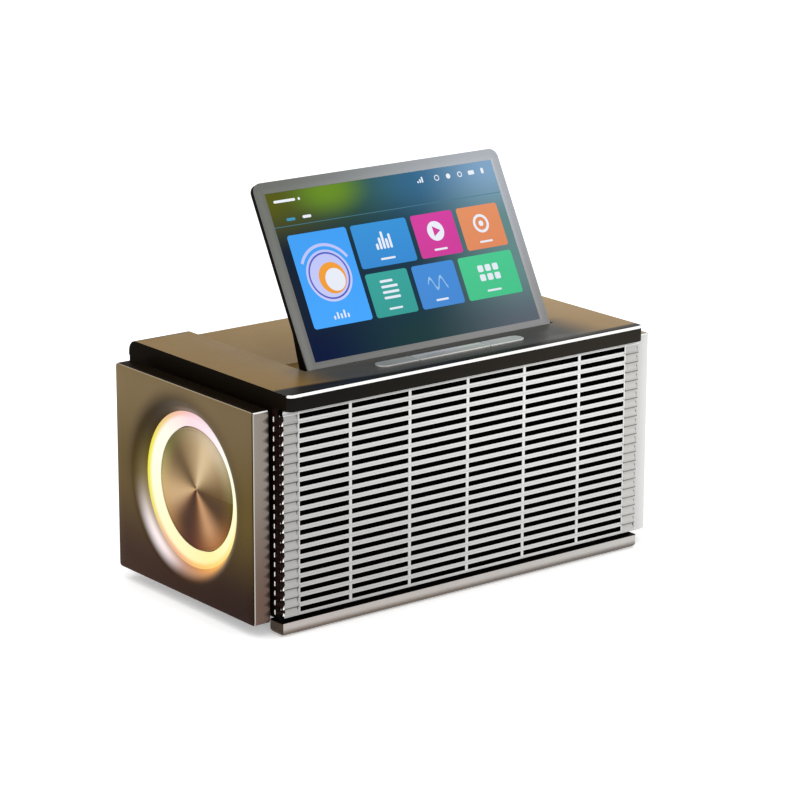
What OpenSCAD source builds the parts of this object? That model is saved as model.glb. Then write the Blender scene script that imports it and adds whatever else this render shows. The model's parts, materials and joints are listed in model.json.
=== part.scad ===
// Karaoke speaker console: a louvred loudspeaker box with a touch screen that folds
// back into a well in its top, three keys, and a lit passive radiator on each side.
// X runs to the right, Y to the back, Z up. The origin lies on the table, under the
// middle of the whole box. Millimetres and degrees. The modules measure from the
// middle between the four feet, and framed() sets them back to that origin.

/* [Box] */
// Width of the top cover and of the front strip
cover_w = 344.4; // [344:0.2:346]
// Distance from the middle between the feet to the front of the top cover
cover_front = 99.5; // [99:0.1:101]
// Distance from the middle between the feet to the back of the top cover
cover_back = 110.5; // [110:0.5:113]
// Radius of the cover's rounded back edge
back_r = 9.5; // [7:0.5:10]
// Height of the top face above the table
cover_top = 185.4; // [185.2:0.1:186.4]
// Radius of the cover's upright corners
cover_r = 5; // [4.5:0.5:9]
// Thickness of the cabinet's walls
wall = 5; // [4:0.5:5]

/* [Grille] */
// Half width of the louvred panel
grille_hw = 173.9; // [173:0.1:174.2]
// Distance from one slat to the next
slat_pitch = 7.398; // [7.38:0.001:7.42]
// Height of one opening between two slats
slat_gap = 3.9; // [3.2:0.1:4]
// Width of an upright rib
rib_w = 2.7; // [2:0.1:3.5]
// Distance from one upright rib to the next
rib_pitch = 55.8; // [54:0.1:57]

/* [Side panels] */
// Distance from the middle of the box to a panel's outer face
panel_x = 193; // [192.8:0.1:194]
// Height of a panel
panel_h = 163.6; // [162:0.2:164]
// Depth of a panel, front to back
panel_d = 180.9; // [178:0.1:181]
// Radius at which the shallow dish starts
dish_r = 70; // [68:0.5:74]

/* [Light ring and radiator] */
// Radius of the radiator's disc
disc_r = 47.6; // [46:0.1:47.8]
// Depth of the ring's outer edge below the panel's face
ring_depth = 7.9; // [7.5:0.1:8.2]
// Depth of the disc's face below the panel's face
disc_depth = 11.3; // [11:0.1:11.6]

/* [Screen] */
// Width of the screen
screen_w = 237; // [234:0.5:238]
// Length of the screen from its hinge axis to its top edge
screen_l = 150.3; // [148:0.1:150.5]
// Thickness of the upper part of the screen
screen_t = 5.2; // [5:0.1:5.3]
// Lean of the opened screen from the upright
screen_tilt = 28.35; // [28.35:0.05:35]
// Width of the picture area
view_w = 219.4; // [214:0.2:222]
// Height of the picture area
view_h = 133; // [130:0.5:134]

/* [Keys] */
// Length of the row of three keys
keys_w = 141.4; // [136:0.2:144]
// Width of a key, front to back
key_d = 13.5; // [12:0.1:14]
// How far the keys stand above the top face
key_proud = 1.2; // [0.9:0.1:1.5]

/* [Woofers] */
// Distance from the middle of the box to a woofer's centre
woofer_x = 100; // [98:0.5:102]
// Radius of a woofer's mounting flange
flange_r = 60; // [58:0.5:61]

/* [Hidden] */
$fn = 64;

cover_z0 = cover_top - 12.4;       // underside of the cover's skirt
skin = 2.6;                        // thickness of the cover's skin
strip_t = 3.9;                     // thickness of the front strip

cab_x = 172;                       // outer side of the cabinet
cab_y0 = -80.2;                    // front rim
cab_y1 = 97;                       // outer face of the rear cover
cab_back = 110;                    // rear rim, which stands behind the rear cover
cab_z0 = 11;                       // underside
baffle_t = 6;
baffle_y0 = cab_y0 - baffle_t;     // front face of the baffle
grille_y = -93;                    // front plane of the slats
grille_back = -87.4;
slat_zone = 158.4;                 // half width of the open louvres
open_n = 21;                       // openings, one above the other
open_top = 168.87;                 // upper edge of the first opening
grille_z0 = 14.7;
grille_z1 = 172.8;

panel_in = 178.6;                  // inner face of a side panel
panel_y0 = -82.9;
panel_z0 = 9.4;
axis_y = 7.5;                      // centre of the light ring and the disc
axis_z = 91.2;
ring_r = 60.5;                     // outer radius of the light ring
ring_in = 48.3;                    // inner radius of the light ring

hinge_y = -46.93;                  // axis of the screen's hinge
hinge_z = cover_top - 4.9;
face = 4.5;                        // from the hinge axis to the screen's front face
well_hx = 121.4;                   // half width of the screen's well
well_y0 = -49.8;                   // front edge of the well
well_z = cover_top - 6.2;          // floor of the shallow part
well_deep = cover_top - 11.9;      // floor of the deep part in front

key_y = -70.95;                    // middle of the row of keys
key_gap = 0.9;                     // gap between two keys
key_split = 34.4;                  // from the middle to each gap

woofer_z = 92;
tweeter_x = 22;
tweeter_z = 128;

rear_in = cab_y1 - 5;              // inner face of the rear cover
shank_r = 1.6;
shank_l = 17;
head_r = 3;
head_h = 2.2;

// screw positions
rear_at = [for (x = [-160, 0, 160], z = [22.5, 164]) if (x != 0 || z > 90) [x, z]];
baffle_at = [for (x = [-160, 0, 160], z = [22.5, 164]) [x, z]];
panel_at = [for (y = [-54, 66], z = [26, 156]) [y, z]];
rail_at = [for (x = [-110, 110], y = [-71, 71]) [x, y]];
top_at = [for (x = [-158, 158], y = [-34, 66]) [x, y]];
peg_at = [for (x = [-164.4, 164.4], z = [40, 148]) [x, z]];

// ---------------------------------------------------------------- helpers

module rrect(w, h, r) {
    square([w - 2 * r, h], center = true);
    square([w, h - 2 * r], center = true);
    for (x = [-1, 1], y = [-1, 1]) translate([x * (w / 2 - r), y * (h / 2 - r)]) circle(r);
}
module plate_z(w, d, z0, z1, r) { translate([0, 0, z0]) linear_extrude(z1 - z0) rrect(w, d, r); }
// profile drawn as (radius, distance along the axis)
module turn_x(y, z) { translate([0, y, z]) rotate([0, 90, 0]) rotate_extrude($fn = 96) children(); }
module turn_y(x, z) { translate([x, 0, z]) rotate([-90, 0, 0]) rotate_extrude($fn = 96) children(); }
// profile drawn as (Y, Z), extruded along X from x0 to x1
module along_x(x0, x1) { translate([x0, 0, 0]) rotate([90, 0, 90]) linear_extrude(x1 - x0) children(); }
module block(x0, x1, y0, y1, z0, z1) { translate([x0, y0, z0]) cube([x1 - x0, y1 - y0, z1 - z0]); }
module rod_x(x0, x1, y, z, r) { translate([x0, y, z]) rotate([0, 90, 0]) cylinder(h = x1 - x0, r = r); }
module rod_y(y0, y1, x, z, r) { translate([x, y0, z]) rotate([-90, 0, 0]) cylinder(h = y1 - y0, r = r); }
module rod_z(z0, z1, x, y, r) { translate([x, y, z0]) cylinder(h = z1 - z0, r = r); }
module to_side(s) { if (s > 0) children(); else mirror([1, 0, 0]) children(); }
module annulus_x(y, z, r0, r1, x0, x1) {
    difference() { rod_x(x0, x1, y, z, r1); rod_x(x0 - 1, x1 + 1, y, z, r0); }
}
module annulus_y(x, z, r0, r1, y0, y1) {
    difference() { rod_y(y0, y1, x, z, r1); rod_y(y0 - 1, y1 + 1, x, z, r0); }
}
// one screw, its head's underside at the origin, its shank along +Z
module screw() {
    difference() {
        union() { translate([0, 0, -head_h]) cylinder(h = head_h, r = head_r); cylinder(h = shank_l, r = shank_r); }
        for (a = [0, 90]) rotate(a) translate([-1.8, -0.35, -head_h - 1]) cube([3.6, 0.7, 2.2]);
    }
}
// everything below is drawn upright with its hinge axis on X, then leans back
module lean() { translate([0, hinge_y, hinge_z]) rotate([-screen_tilt, 0, 0]) children(); }

// ---------------------------------------------------------------- cabinet

module cabinet_shell() {
    color([0.09, 0.075, 0.065]) difference() {
        union() {
            difference() {
                block(-cab_x, cab_x, cab_y0, cab_back, cab_z0, cover_z0);
                block(-cab_x + wall, cab_x - wall, cab_y0 - 1, cab_back + 1, cab_z0 + wall, cover_z0 + 1);
            }
            // bosses for the rear cover and the baffle
            for (p = rear_at) if (abs(p[0]) > 1)
                block(max(p[0] - 7, -cab_x + 2), min(p[0] + 7, cab_x - 2), rear_in - 19, rear_in,
                      p[1] < 90 ? cab_z0 + 2 : p[1] - 6, p[1] + 6);
            for (p = baffle_at) if (abs(p[0]) > 1 || p[1] < 90)
                block(max(p[0] - 7, -cab_x + 2), min(p[0] + 7, cab_x - 2), cab_y0, cab_y0 + 19,
                      p[1] < 90 ? cab_z0 + 2 : p[1] - 6, p[1] + 6);
            // bosses over the foot rails, and lugs under the top cover
            for (p = rail_at) rod_z(cab_z0 + 2, 23, p[0], p[1], 5);
            for (p = top_at) block(p[0] < 0 ? -cab_x + 2 : p[0] - 6, p[0] < 0 ? p[0] + 6 : cab_x - 2,
                                   p[1] - 7, p[1] + 7, 160, 165);
        }
        for (p = rear_at) rod_y(rear_in - 20, rear_in + 1, p[0], p[1], shank_r);
        for (p = baffle_at) rod_y(cab_y0 - 1, cab_y0 + 20, p[0], p[1], shank_r);
        for (p = rail_at) rod_z(cab_z0 - 1, 24, p[0], p[1], shank_r);
        for (p = top_at) rod_z(159, 166, p[0], p[1], shank_r);
        for (s = [-1, 1]) to_side(s) {
            rod_x(cab_x - wall - 1, cab_x + 1, axis_y, axis_z, 52.6);
            for (p = panel_at) rod_x(cab_x - wall - 1, cab_x + 1, p[0], p[1], shank_r);
        }
    }
}

module front_baffle() {
    color([0.05, 0.05, 0.05]) difference() {
        block(-cab_x, cab_x, baffle_y0, cab_y0, cab_z0, cover_z0);
        for (s = [-1, 1]) {
            rod_y(baffle_y0 - 1, cab_y0 + 1, s * woofer_x, woofer_z, 52.5);
            rod_y(baffle_y0 - 1, cab_y0 + 1, s * tweeter_x, tweeter_z, 12.5);
            for (a = [45:90:315]) rod_y(cab_y0 - 4.5, cab_y0 + 1, s * woofer_x + 56.2 * cos(a), woofer_z + 56.2 * sin(a), 1.3);
        }
        for (p = baffle_at) {
            rod_y(baffle_y0 - 1, cab_y0 + 1, p[0], p[1], shank_r);
            rod_y(baffle_y0 - 1, baffle_y0 + 2.4, p[0], p[1], 3.3);
        }
        for (p = peg_at) rod_y(baffle_y0 - 1, cab_y0 - 1, p[0], p[1], 2.5);
    }
}

module acoustic_cloth() {
    color([0.03, 0.03, 0.03]) block(-160.5, 160.5, grille_back + 0.2, baffle_y0 - 0.2, 16, cover_z0 - 1);
}

module grille() {
    color([0.78, 0.78, 0.80]) union() {
        // slats: each leans back a little towards its upper edge
        for (k = [0:open_n - 2]) {
            zt = open_top - k * slat_pitch - slat_gap;
            zb = open_top - (k + 1) * slat_pitch;
            along_x(-slat_zone - 1, slat_zone + 1)
                polygon([[grille_y, zb], [grille_y + 0.5, zt], [grille_back, zt], [grille_back, zb]]);
        }
        zl = open_top - (open_n - 1) * slat_pitch - slat_gap;
        block(-grille_hw, grille_hw, grille_y, grille_back, grille_z0, zl);
        block(-grille_hw, grille_hw, grille_y, grille_back, open_top, grille_z1);
        for (k = [-2:2]) block(k * rib_pitch - rib_w / 2, k * rib_pitch + rib_w / 2,
                               grille_y + 0.3, grille_back, grille_z0 + 1, grille_z1 - 1);
        // closed end columns, shingled at the slats' pitch
        for (s = [-1, 1]) to_side(s) {
            along_x(slat_zone, grille_hw) polygon(concat(
                [[grille_back, grille_z0 + 1], [grille_back, grille_z1 - 1], [grille_y + 1.6, grille_z1 - 1]],
                [for (k = [0:open_n - 1]) let (zd = max(open_top - (k + 1) * slat_pitch, grille_z0 + 0.3))
                    each [[grille_y + 1.6, open_top - k * slat_pitch - 0.2], [grille_y, zd + 0.5], [grille_y + 1.2, zd]]],
                [[grille_y + 1.6, grille_z0 + 1]]));
        }
        for (p = peg_at) rod_y(grille_back - 0.5, cab_y0 - 1.2, p[0], p[1], 2.5);
    }
}

module front_foot_rail() {
    color([0.55, 0.52, 0.48]) foot_rail();
}
module rear_foot_rail() {
    color([0.30, 0.25, 0.21]) mirror([0, 1, 0]) foot_rail();
}
module foot_rail() {
    difference() {
        union() {
            intersection() {
                // crisp along the top, well rounded underneath
                along_x(-175.3, 175.3) hull() {
                    translate([-93, 8]) square([16, 3]);
                    for (y = [-89.6, -80.4]) translate([y, 4]) circle(3.4);
                }
                translate([0, -85, 0]) plate_z(350.6, 16, 0, 12, 1.2);
            }
            // tongues that the screws clamp under the cabinet
            for (x = [-110, 110]) block(x - 9, x + 9, -80, -65.5, 5, 11);
        }
        for (x = [-150, 150]) translate([x, -85, 0]) plate_z(30, 9, -1, 1.6, 4.4);
        for (x = [-110, 110]) rod_z(-1, 12, x, -71, shank_r);
    }
}
module foot_pads() {
    color([0.06, 0.06, 0.06]) for (x = [-150, 150], y = [-85, 85]) translate([x, y, 0]) plate_z(30, 9, 0, 1.6, 4.4);
}

// ---------------------------------------------------------------- top

module cover_plan(z0, z1) {
    translate([0, (cover_back - cover_front) / 2, 0]) plate_z(cover_w, cover_front + cover_back, z0, z1, cover_r);
    // the corners at the back are square in plan
    block(-cover_w / 2, cover_w / 2, 0, cover_back, z0, z1);
}
// all that lies behind the front strip and under the rounded back edge
module cover_limit() {
    block(-200, 200, -cover_front + strip_t, cover_back - back_r, 0, cover_top);
    block(-200, 200, -cover_front + strip_t, cover_back, 0, cover_top - back_r);
    rod_x(-200, 200, cover_back - back_r, cover_top - back_r, back_r);
}
module well_profile(g) {
    // the front lip is undercut, to clear the hinge's barrel
    polygon([[well_y0 - g, cover_top + 1], [well_y0 - g, cover_top - 0.7], [well_y0 - 2.5 - g, cover_top - 3.4],
             [well_y0 - 2.5 - g, well_deep - g], [-16 + g / 2, well_deep - g],
             [-6 + g / 2, well_z - g], [cover_back + 1, well_z - g], [cover_back + 1, cover_top + 1]]);
}
module top_cover() {
    color([0.50, 0.42, 0.32]) difference() {
        union() {
            difference() {
                intersection() {
                    cover_plan(cover_z0, cover_top);
                    cover_limit();
                }
                translate([0, 4.1, 0]) plate_z(cover_w - 2 * skin, 194, cover_z0 - 1, cover_top - skin, 4);
            }
            intersection() {
                along_x(-well_hx - 2.4, well_hx + 2.4) well_profile(2.4);
                cover_limit();
            }
            for (p = top_at) rod_z(165, cover_top - skin + 1, p[0], p[1], 4.5);
            // posts for the key board
            for (x = [-64, 0, 64]) for (y = [-1, 1]) rod_z(cover_top - 5.7, cover_top - skin + 0.5, x + (x == 0 ? 30 : 0), key_y + y * 10.5, 1.8);
        }
        along_x(-well_hx, well_hx) well_profile(0);
        translate([0, key_y, 0]) plate_z(keys_w + 0.8, key_d + 0.8, cover_top - 6, cover_top + 1, key_d / 2 + 0.3);
        for (p = top_at) rod_z(164, 177.1, p[0], p[1], shank_r);
        for (s = [-1, 1]) to_side(s) rod_x(well_hx - 1, well_hx + 4, hinge_y, hinge_z, 2);
        for (x = [-120, -40, 40, 120]) rod_y(-cover_front, -cover_front + strip_t + 4.5, x, cover_top - 6.4, 1.5);
        // slot for the flat cable
        block(-13, 13, -31, -28.6, well_deep - 4, well_deep + 1);
    }
}
module fascia_strip() {
    color([0.02, 0.02, 0.02]) {
        intersection() {
            cover_plan(cover_z0, cover_top);
            block(-200, 200, -cover_front - 1, -cover_front + strip_t, 0, 300);
        }
        for (x = [-120, -40, 40, 120]) rod_y(-cover_front + strip_t - 0.5, -cover_front + strip_t + 4.2, x, cover_top - 6.4, 1.5);
    }
}

// a key spans x0 to x1; an outer key has one fully rounded end
module key(x0, x1, round_left, round_right) {
    r = key_d / 2 - 0.05;
    module outline(g) {
        translate([round_left ? x0 + r : x0 - g, key_y - key_d / 2 - g])
            square([(round_right ? x1 - r : x1 + g) - (round_left ? x0 + r : x0 - g), key_d + 2 * g]);
        if (round_left) translate([x0 + r, key_y]) circle(key_d / 2 + g);
        if (round_right) translate([x1 - r, key_y]) circle(key_d / 2 + g);
    }
    zt = cover_top + key_proud;
    translate([0, 0, cover_top - skin - 1.4]) linear_extrude(zt - cover_top + skin + 1.4) outline(0);
    // retaining lip in front and behind, under the skin
    for (y = [-1, 1]) translate([(x0 + x1) / 2, key_y + y * (key_d / 2 + 0.1), 0])
        block(-10, 10, -1, 1, cover_top - skin - 1.4, cover_top - skin - 0.6);
}
module key_left() { color([0.72, 0.72, 0.72]) key(-keys_w / 2, -key_split - key_gap / 2, true, false); }
module key_center() { color([0.82, 0.82, 0.82]) key(-key_split + key_gap / 2, key_split - key_gap / 2, false, false); }
module key_right() { color([0.72, 0.72, 0.72]) key(key_split + key_gap / 2, keys_w / 2, false, true); }
module key_board() {
    zb = cover_top - 6.9;
    color([0.05, 0.22, 0.10]) {
        translate([0, key_y, 0]) plate_z(144, 26, zb, zb + 1.2, 2);
        for (x = [-53, 0, 53]) translate([x, key_y, zb + 1.2]) {
            translate([-3, -3, 0]) cube([6, 6, 0.5]);
        }
        block(-8, 8, key_y - 12, key_y - 8, zb - 3, zb);
    }
}

// ---------------------------------------------------------------- rear

module rear_cover() {
    color([0.06, 0.055, 0.05]) difference() {
        block(-cab_x + wall, cab_x - wall, rear_in, cab_y1, cab_z0 + wall, cover_z0);
        for (p = rear_at) rod_y(rear_in - 1, cab_y1 + 1, p[0], p[1], shank_r);
        // notch for the sockets, which the two plates close
        block(-78, 86, rear_in - 1, cab_y1 + 1, cab_z0, 63);
    }
}
module rear_plate(x0, x1) {
    translate([(x0 + x1) / 2, 0, 42.6]) rotate([-90, 0, 0]) translate([0, 0, cab_y1]) linear_extrude(1)
        rrect(x1 - x0, 52.8, 1);
}
module jack_plate() {
    color([0.16, 0.16, 0.17]) difference() {
        rear_plate(-84, -7.6);
        for (x = [-62, -38]) rod_y(rear_in - 1, cab_y1 + 2, x, 48, 4.6);
        rod_y(rear_in - 1, cab_y1 + 2, -16, 48, 3);
    }
}
module power_plate() {
    color([0.16, 0.16, 0.17]) difference() {
        rear_plate(-7.2, 92);
        block(-2.4, 12.4, rear_in - 1, cab_y1 + 2, 44, 52);
        block(28.5, 43.5, rear_in - 1, cab_y1 + 2, 38, 58);
        block(54, 80, rear_in - 1, cab_y1 + 2, 39.5, 56.5);
    }
}
module microphone_sockets() {
    color([0.75, 0.75, 0.76]) for (x = [-62, -38]) difference() {
        union() {
            rod_y(80, cab_y1 + 1, x, 48, 4.6);
            rod_y(cab_y1 + 1, cab_y1 + 2.4, x, 48, 6.6);
            rod_y(78, cab_y1, x, 48, 7);
        }
        rod_y(79.5, cab_y1 + 3, x, 48, 3.25);
    }
}
module aux_socket() {
    color([0.12, 0.12, 0.12]) difference() {
        union() {
            rod_y(84, cab_y1 + 1, -16, 48, 3);
            rod_y(cab_y1 + 1, cab_y1 + 1.9, -16, 48, 4.2);
            rod_y(82, cab_y1, -16, 48, 4.6);
        }
        rod_y(83.5, cab_y1 + 3, -16, 48, 1.85);
    }
}
module usb_socket() {
    color([0.70, 0.70, 0.72]) {
        difference() {
            block(-2.4, 12.4, 82, cab_y1 + 1.2, 44, 52);
            block(-1.4, 11.4, 84, cab_y1 + 3, 45, 51);
        }
        block(0.6, 9.4, 83, 95, 45.0, 46.4);
    }
}
module power_inlet() {
    color([0.04, 0.04, 0.04]) {
        difference() {
            union() {
                block(54, 80, 80, cab_y1 + 1, 39.5, 56.5);
                block(51, 83, cab_y1 + 1, cab_y1 + 2.3, 37, 59);
            }
            block(56.5, 77.5, 83, cab_y1 + 4, 41.5, 54.5);
        }
        for (x = [62.7, 71.3]) rod_y(81, 94, x, 48, 1.2);
    }
}
module rocker_frame() {
    color([0.03, 0.03, 0.03]) difference() {
        union() {
            block(28.5, 43.5, 82, cab_y1 + 1, 38, 58);
            block(26.5, 45.5, cab_y1 + 1, cab_y1 + 2, 36, 60);
        }
        block(30, 42, 84, cab_y1 + 3, 39.5, 56.5);
        rod_x(28, 44, 93, 48, 1.05);
    }
}
module power_rocker() {
    color([0.35, 0.02, 0.02]) {
        along_x(30.4, 41.6) polygon([[88, 44], [88, 52], [96, 54.8], [97.4, 54.8], [96, 48], [99.2, 41.4], [96, 41.4]]);
        rod_x(28.6, 43.4, 93, 48, 1);
    }
}

// ---------------------------------------------------------------- side panels

module panel_solid() {
    cy = panel_y0 + panel_d / 2;
    cz = panel_z0 + panel_h / 2;
    intersection() {
        translate([panel_in, cy, cz]) rotate([90, 0, 90]) linear_extrude(panel_x - panel_in) rrect(panel_d, panel_h, 3);
        translate([0, cy, 0]) linear_extrude(300) translate([(panel_x + panel_in - 6) / 2, 0]) rrect(panel_x - panel_in + 6, panel_d, 1.2);
    }
}
module side_panel(s) {
    color([0.42, 0.34, 0.26]) to_side(s) difference() {
        union() {
            difference() {
                panel_solid();
                translate([panel_in - 1, panel_y0 + panel_d / 2, panel_z0 + panel_h / 2]) rotate([90, 0, 90])
                    linear_extrude(panel_x - panel_in - 2) rrect(panel_d - 6, panel_h - 6, 2);
            }
            // seat of the dish and four screw bosses
            rod_x(panel_in, panel_x - 2, axis_y, axis_z, 74);
            for (p = panel_at) rod_x(panel_in, panel_x - 2, p[0], p[1], 6);
        }
        rod_x(panel_in - 1, panel_x + 1, axis_y, axis_z, ring_r);
        turn_x(axis_y, axis_z) polygon([[0, panel_x + 1], [dish_r + 1.5, panel_x + 1], [dish_r, panel_x],
            [dish_r - 3.2, panel_x - 1.5], [dish_r - 6.6, panel_x - 4.4], [ring_r, panel_x - ring_depth], [0, panel_x - ring_depth]]);
        for (p = panel_at) rod_x(panel_in - 1, cab_x - wall + shank_l + 0.5, p[0], p[1], shank_r);
    }
}
module side_panel_left() { side_panel(-1); }
module side_panel_right() { side_panel(1); }

module panel_spacers() {
    color([0.04, 0.04, 0.04]) for (s = [-1, 1]) to_side(s) {
        difference() {
            union() {
                annulus_x(axis_y, axis_z, 64, 72, cab_x, panel_in);
                annulus_x(axis_y, axis_z, 60.3, 70, 176.7, panel_in);
            }
        }
        for (p = panel_at) annulus_x(p[0], p[1], shank_r, 5, cab_x, panel_in);
    }
}

// ---------------------------------------------------------------- light ring and radiator

module light_ring(s) {
    xo = panel_x - ring_depth;
    xi = panel_x - disc_depth;
    color([1, 0.85, 0.6]) to_side(s) turn_x(axis_y, axis_z)
        polygon([[ring_r, xo], [ring_in, xi], [ring_in, xi - 2.4], [57.6, xo - 3.4], [58.4, panel_in], [ring_r, panel_in]]);
}
module light_ring_left() { light_ring(-1); }
module light_ring_right() { light_ring(1); }

module led_board(s) {
    color([0.92, 0.92, 0.90]) to_side(s) {
        annulus_x(axis_y, axis_z, 52.6, 60.3, 176.7, 177.9);
        for (a = [0:15:345]) translate([0, axis_y, axis_z]) rotate([a, 0, 0]) block(177.8, 178.6, -1.5, 1.5, 54.2, 57.2);
    }
}
module led_board_left() { led_board(-1); }
module led_board_right() { led_board(1); }

module radiator_frame(s) {
    color([0.10, 0.10, 0.10]) to_side(s) annulus_x(axis_y, axis_z, 53.2, 64, cab_x, 175.9);
}
module radiator_frame_left() { radiator_frame(-1); }
module radiator_frame_right() { radiator_frame(1); }

module radiator_surround(s) {
    color([0.05, 0.05, 0.05]) to_side(s) {
        difference() {
            turn_x(axis_y, axis_z) intersection() {
                translate([49.5, 176.3]) circle(3.4, $fn = 48);
                translate([40, 170]) square([20, 6.7]);
            }
            turn_x(axis_y, axis_z) translate([49.5, 176.3]) circle(2.6, $fn = 48);
        }
        annulus_x(axis_y, axis_z, 42, 46.4, 175.9, 176.7);
        annulus_x(axis_y, axis_z, 52.6, 56, 175.9, 176.7);
    }
}
module radiator_surround_left() { radiator_surround(-1); }
module radiator_surround_right() { radiator_surround(1); }

module radiator_disc(s) {
    xf = panel_x - disc_depth;
    color([0.55, 0.42, 0.26]) to_side(s) turn_x(axis_y, axis_z)
        polygon([[0, xf - 0.5], [2, xf - 0.5], [2.6, xf], [disc_r - 0.6, xf], [disc_r, xf - 0.6],
                 [disc_r, 176.7], [24, 176.7], [24, 169], [0, 169]]);
}
module radiator_disc_left() { radiator_disc(-1); }
module radiator_disc_right() { radiator_disc(1); }

// ---------------------------------------------------------------- drive units

module woofer_basket(s) {
    x = s * woofer_x;
    color([0.14, 0.14, 0.15]) difference() {
        union() {
            annulus_y(x, woofer_z, 51, flange_r, cab_y0, cab_y0 + 2.5);
            turn_y(x, woofer_z) polygon([[51, cab_y0], [54, cab_y0], [54, -76], [34, -46], [34, -42], [16, -42], [16, -44.5], [31, -46], [51, -76]]);
        }
        // windows between the basket's arms
        for (a = [0:60:300]) translate([x, 0, woofer_z]) rotate([0, a, 0]) block(-9, 9, -74, -49, 20, 60);
        for (a = [45:90:315]) rod_y(cab_y0 - 1, cab_y0 + 3, x + 56.2 * cos(a), woofer_z + 56.2 * sin(a), 1.3);
    }
}
module woofer_basket_left() { woofer_basket(-1); }
module woofer_basket_right() { woofer_basket(1); }

module woofer_magnet(s) {
    color([0.22, 0.22, 0.23]) turn_y(s * woofer_x, woofer_z)
        polygon([[0, -42], [11.6, -42], [11.6, -28], [13.6, -28], [13.6, -42], [30, -42], [30, -38], [34, -38],
                 [34, -26], [30, -26], [30, -22], [0, -22]]);
}
module woofer_magnet_left() { woofer_magnet(-1); }
module woofer_magnet_right() { woofer_magnet(1); }

module woofer_cone(s) {
    color([0.12, 0.12, 0.12]) turn_y(s * woofer_x, woofer_z)
        polygon([[44.4, -80.2], [45.3, -80.2], [45.3, -79.4], [44.8, -78.6], [13.2, -57], [12.9, -57], [12.9, -37], [12.3, -37], [12.3, -57.5],
                 [12.3, -61], [7, -64.2], [0, -65.2], [0, -66], [7.2, -65], [13.4, -61.4], [14, -58.6]]);
}
module woofer_cone_left() { woofer_cone(-1); }
module woofer_cone_right() { woofer_cone(1); }

module woofer_surround(s) {
    color([0.04, 0.04, 0.04]) {
        difference() {
            turn_y(s * woofer_x, woofer_z) intersection() {
                translate([47.9, -80.6]) circle(3.3, $fn = 48);
                translate([40, -90]) square([20, 9.8]);
            }
            turn_y(s * woofer_x, woofer_z) translate([47.9, -80.6]) circle(2.5, $fn = 48);
        }
        turn_y(s * woofer_x, woofer_z) polygon([[50.6, -81], [52.4, -81], [52.4, -80.2], [50.6, -80.2]]);
    }
}
module woofer_surround_left() { woofer_surround(-1); }
module woofer_surround_right() { woofer_surround(1); }

module tweeter(s) {
    color([0.10, 0.10, 0.11]) turn_y(s * tweeter_x, tweeter_z)
        polygon([[0, -84.6], [4.5, -84.1], [8.6, -82], [9.2, -81], [12.4, -81.4], [12.4, cab_y0], [17, cab_y0], [17, -77.7],
                 [14, -77.7], [14, -62], [0, -62]]);
}
module tweeter_left() { tweeter(-1); }
module tweeter_right() { tweeter(1); }

// ---------------------------------------------------------------- screen

screen_hx = screen_w / 2;
bezel_t = 1.2;
fr = -face;                         // front face of the upright screen
view_z0 = 8.1;                      // lower edge of the picture area
// rear housing's side profile: thin above, thick round the hinge
module shell_profile() {
    polygon([[fr + bezel_t, screen_l], [fr + screen_t, screen_l], [fr + screen_t, 34],
             [2.6, 24], [4.9, 12], [5.6, 6], [5.2, 1.5], [3.4, -0.4], [fr + bezel_t, -0.4]]);
}
module screen_outline() {
    // rounded upper corners only
    r = 7.4;
    translate([-screen_hx, -6]) square([screen_w, screen_l + 6 - r]);
    translate([-screen_hx + r, 0]) square([screen_w - 2 * r, screen_l]);
    for (x = [-1, 1]) translate([x * (screen_hx - r), screen_l - r]) circle(r);
}
module side_slot(z0, z1, g) { block(screen_hx - 5, screen_hx + 2, fr + 1.9 - g, fr + 3.9 + g, z0 - g, z1 + g); }
module screen_rear_shell() {
    color([0.03, 0.03, 0.03]) lean() difference() {
        intersection() {
            union() {
                along_x(-screen_hx, screen_hx) shell_profile();
                rod_x(-screen_hx, screen_hx, 0, 0, face);
            }
            rotate([90, 0, 0]) translate([0, 0, -20]) linear_extrude(40) screen_outline();
        }
        // tray for the display
        block(-screen_hx + 3, screen_hx - 3, fr - 1, fr + 4.1, 5, screen_l - 3.4);
        // pocket for the circuit board
        along_x(-82, 82) polygon([[fr + 3, 6.5], [3, 6.5], [3, 11], [fr + 3, 27]]);
        // the front of the barrel is cut flush with the bezel's back
        block(-screen_hx - 1, screen_hx + 1, fr - 1, fr + bezel_t, 0.4, screen_l + 1);
        for (s = [-1, 1]) to_side(s) rod_x(screen_hx - 10, screen_hx + 1, 0, 0, 3.2);
        side_slot(93.2, 114.3, 0.3);
        side_slot(79.0, 92.0, 0.3);
        // mouth for the flat cable
        block(-13, 13, -1, 1, -6, 7);
    }
}
module screen_bezel() {
    color([0.52, 0.52, 0.53]) lean() difference() {
        intersection() {
            block(-screen_hx, screen_hx, fr, fr + bezel_t, 0.4, screen_l);
            rotate([90, 0, 0]) translate([0, 0, -20]) linear_extrude(40) screen_outline();
        }
        block(-view_w / 2, view_w / 2, fr - 1, fr + 3, view_z0, view_z0 + view_h);
    }
}
module screen_glass() {
    color([0.05, 0.10, 0.18]) lean() block(-view_w / 2, view_w / 2, fr + 0.15, fr + 1.15, view_z0, view_z0 + view_h);
}
module display_panel() {
    color([0.25, 0.26, 0.28]) lean() block(-view_w / 2 - 2.6, view_w / 2 + 2.6, fr + bezel_t, fr + 3.4, 5.4, 145);
}
module screen_board() {
    color([0.04, 0.20, 0.10]) lean() {
        block(-76, 76, 0.2, 1.4, 7, 16.5);
        for (x = [-50, -20, 12, 44]) block(x, x + 11, 1.4, 2.2, 7.8, 13);
        // switches behind the side keys
        block(screen_hx - 5.2, screen_hx - 4.2, fr + 1.6, fr + 4.0, 78, 116);
    }
}
module edge_key(z0, z1) { lean() block(screen_hx - 3.4, screen_hx + 0.9, fr + 1.9, fr + 3.9, z0, z1); }
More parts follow.
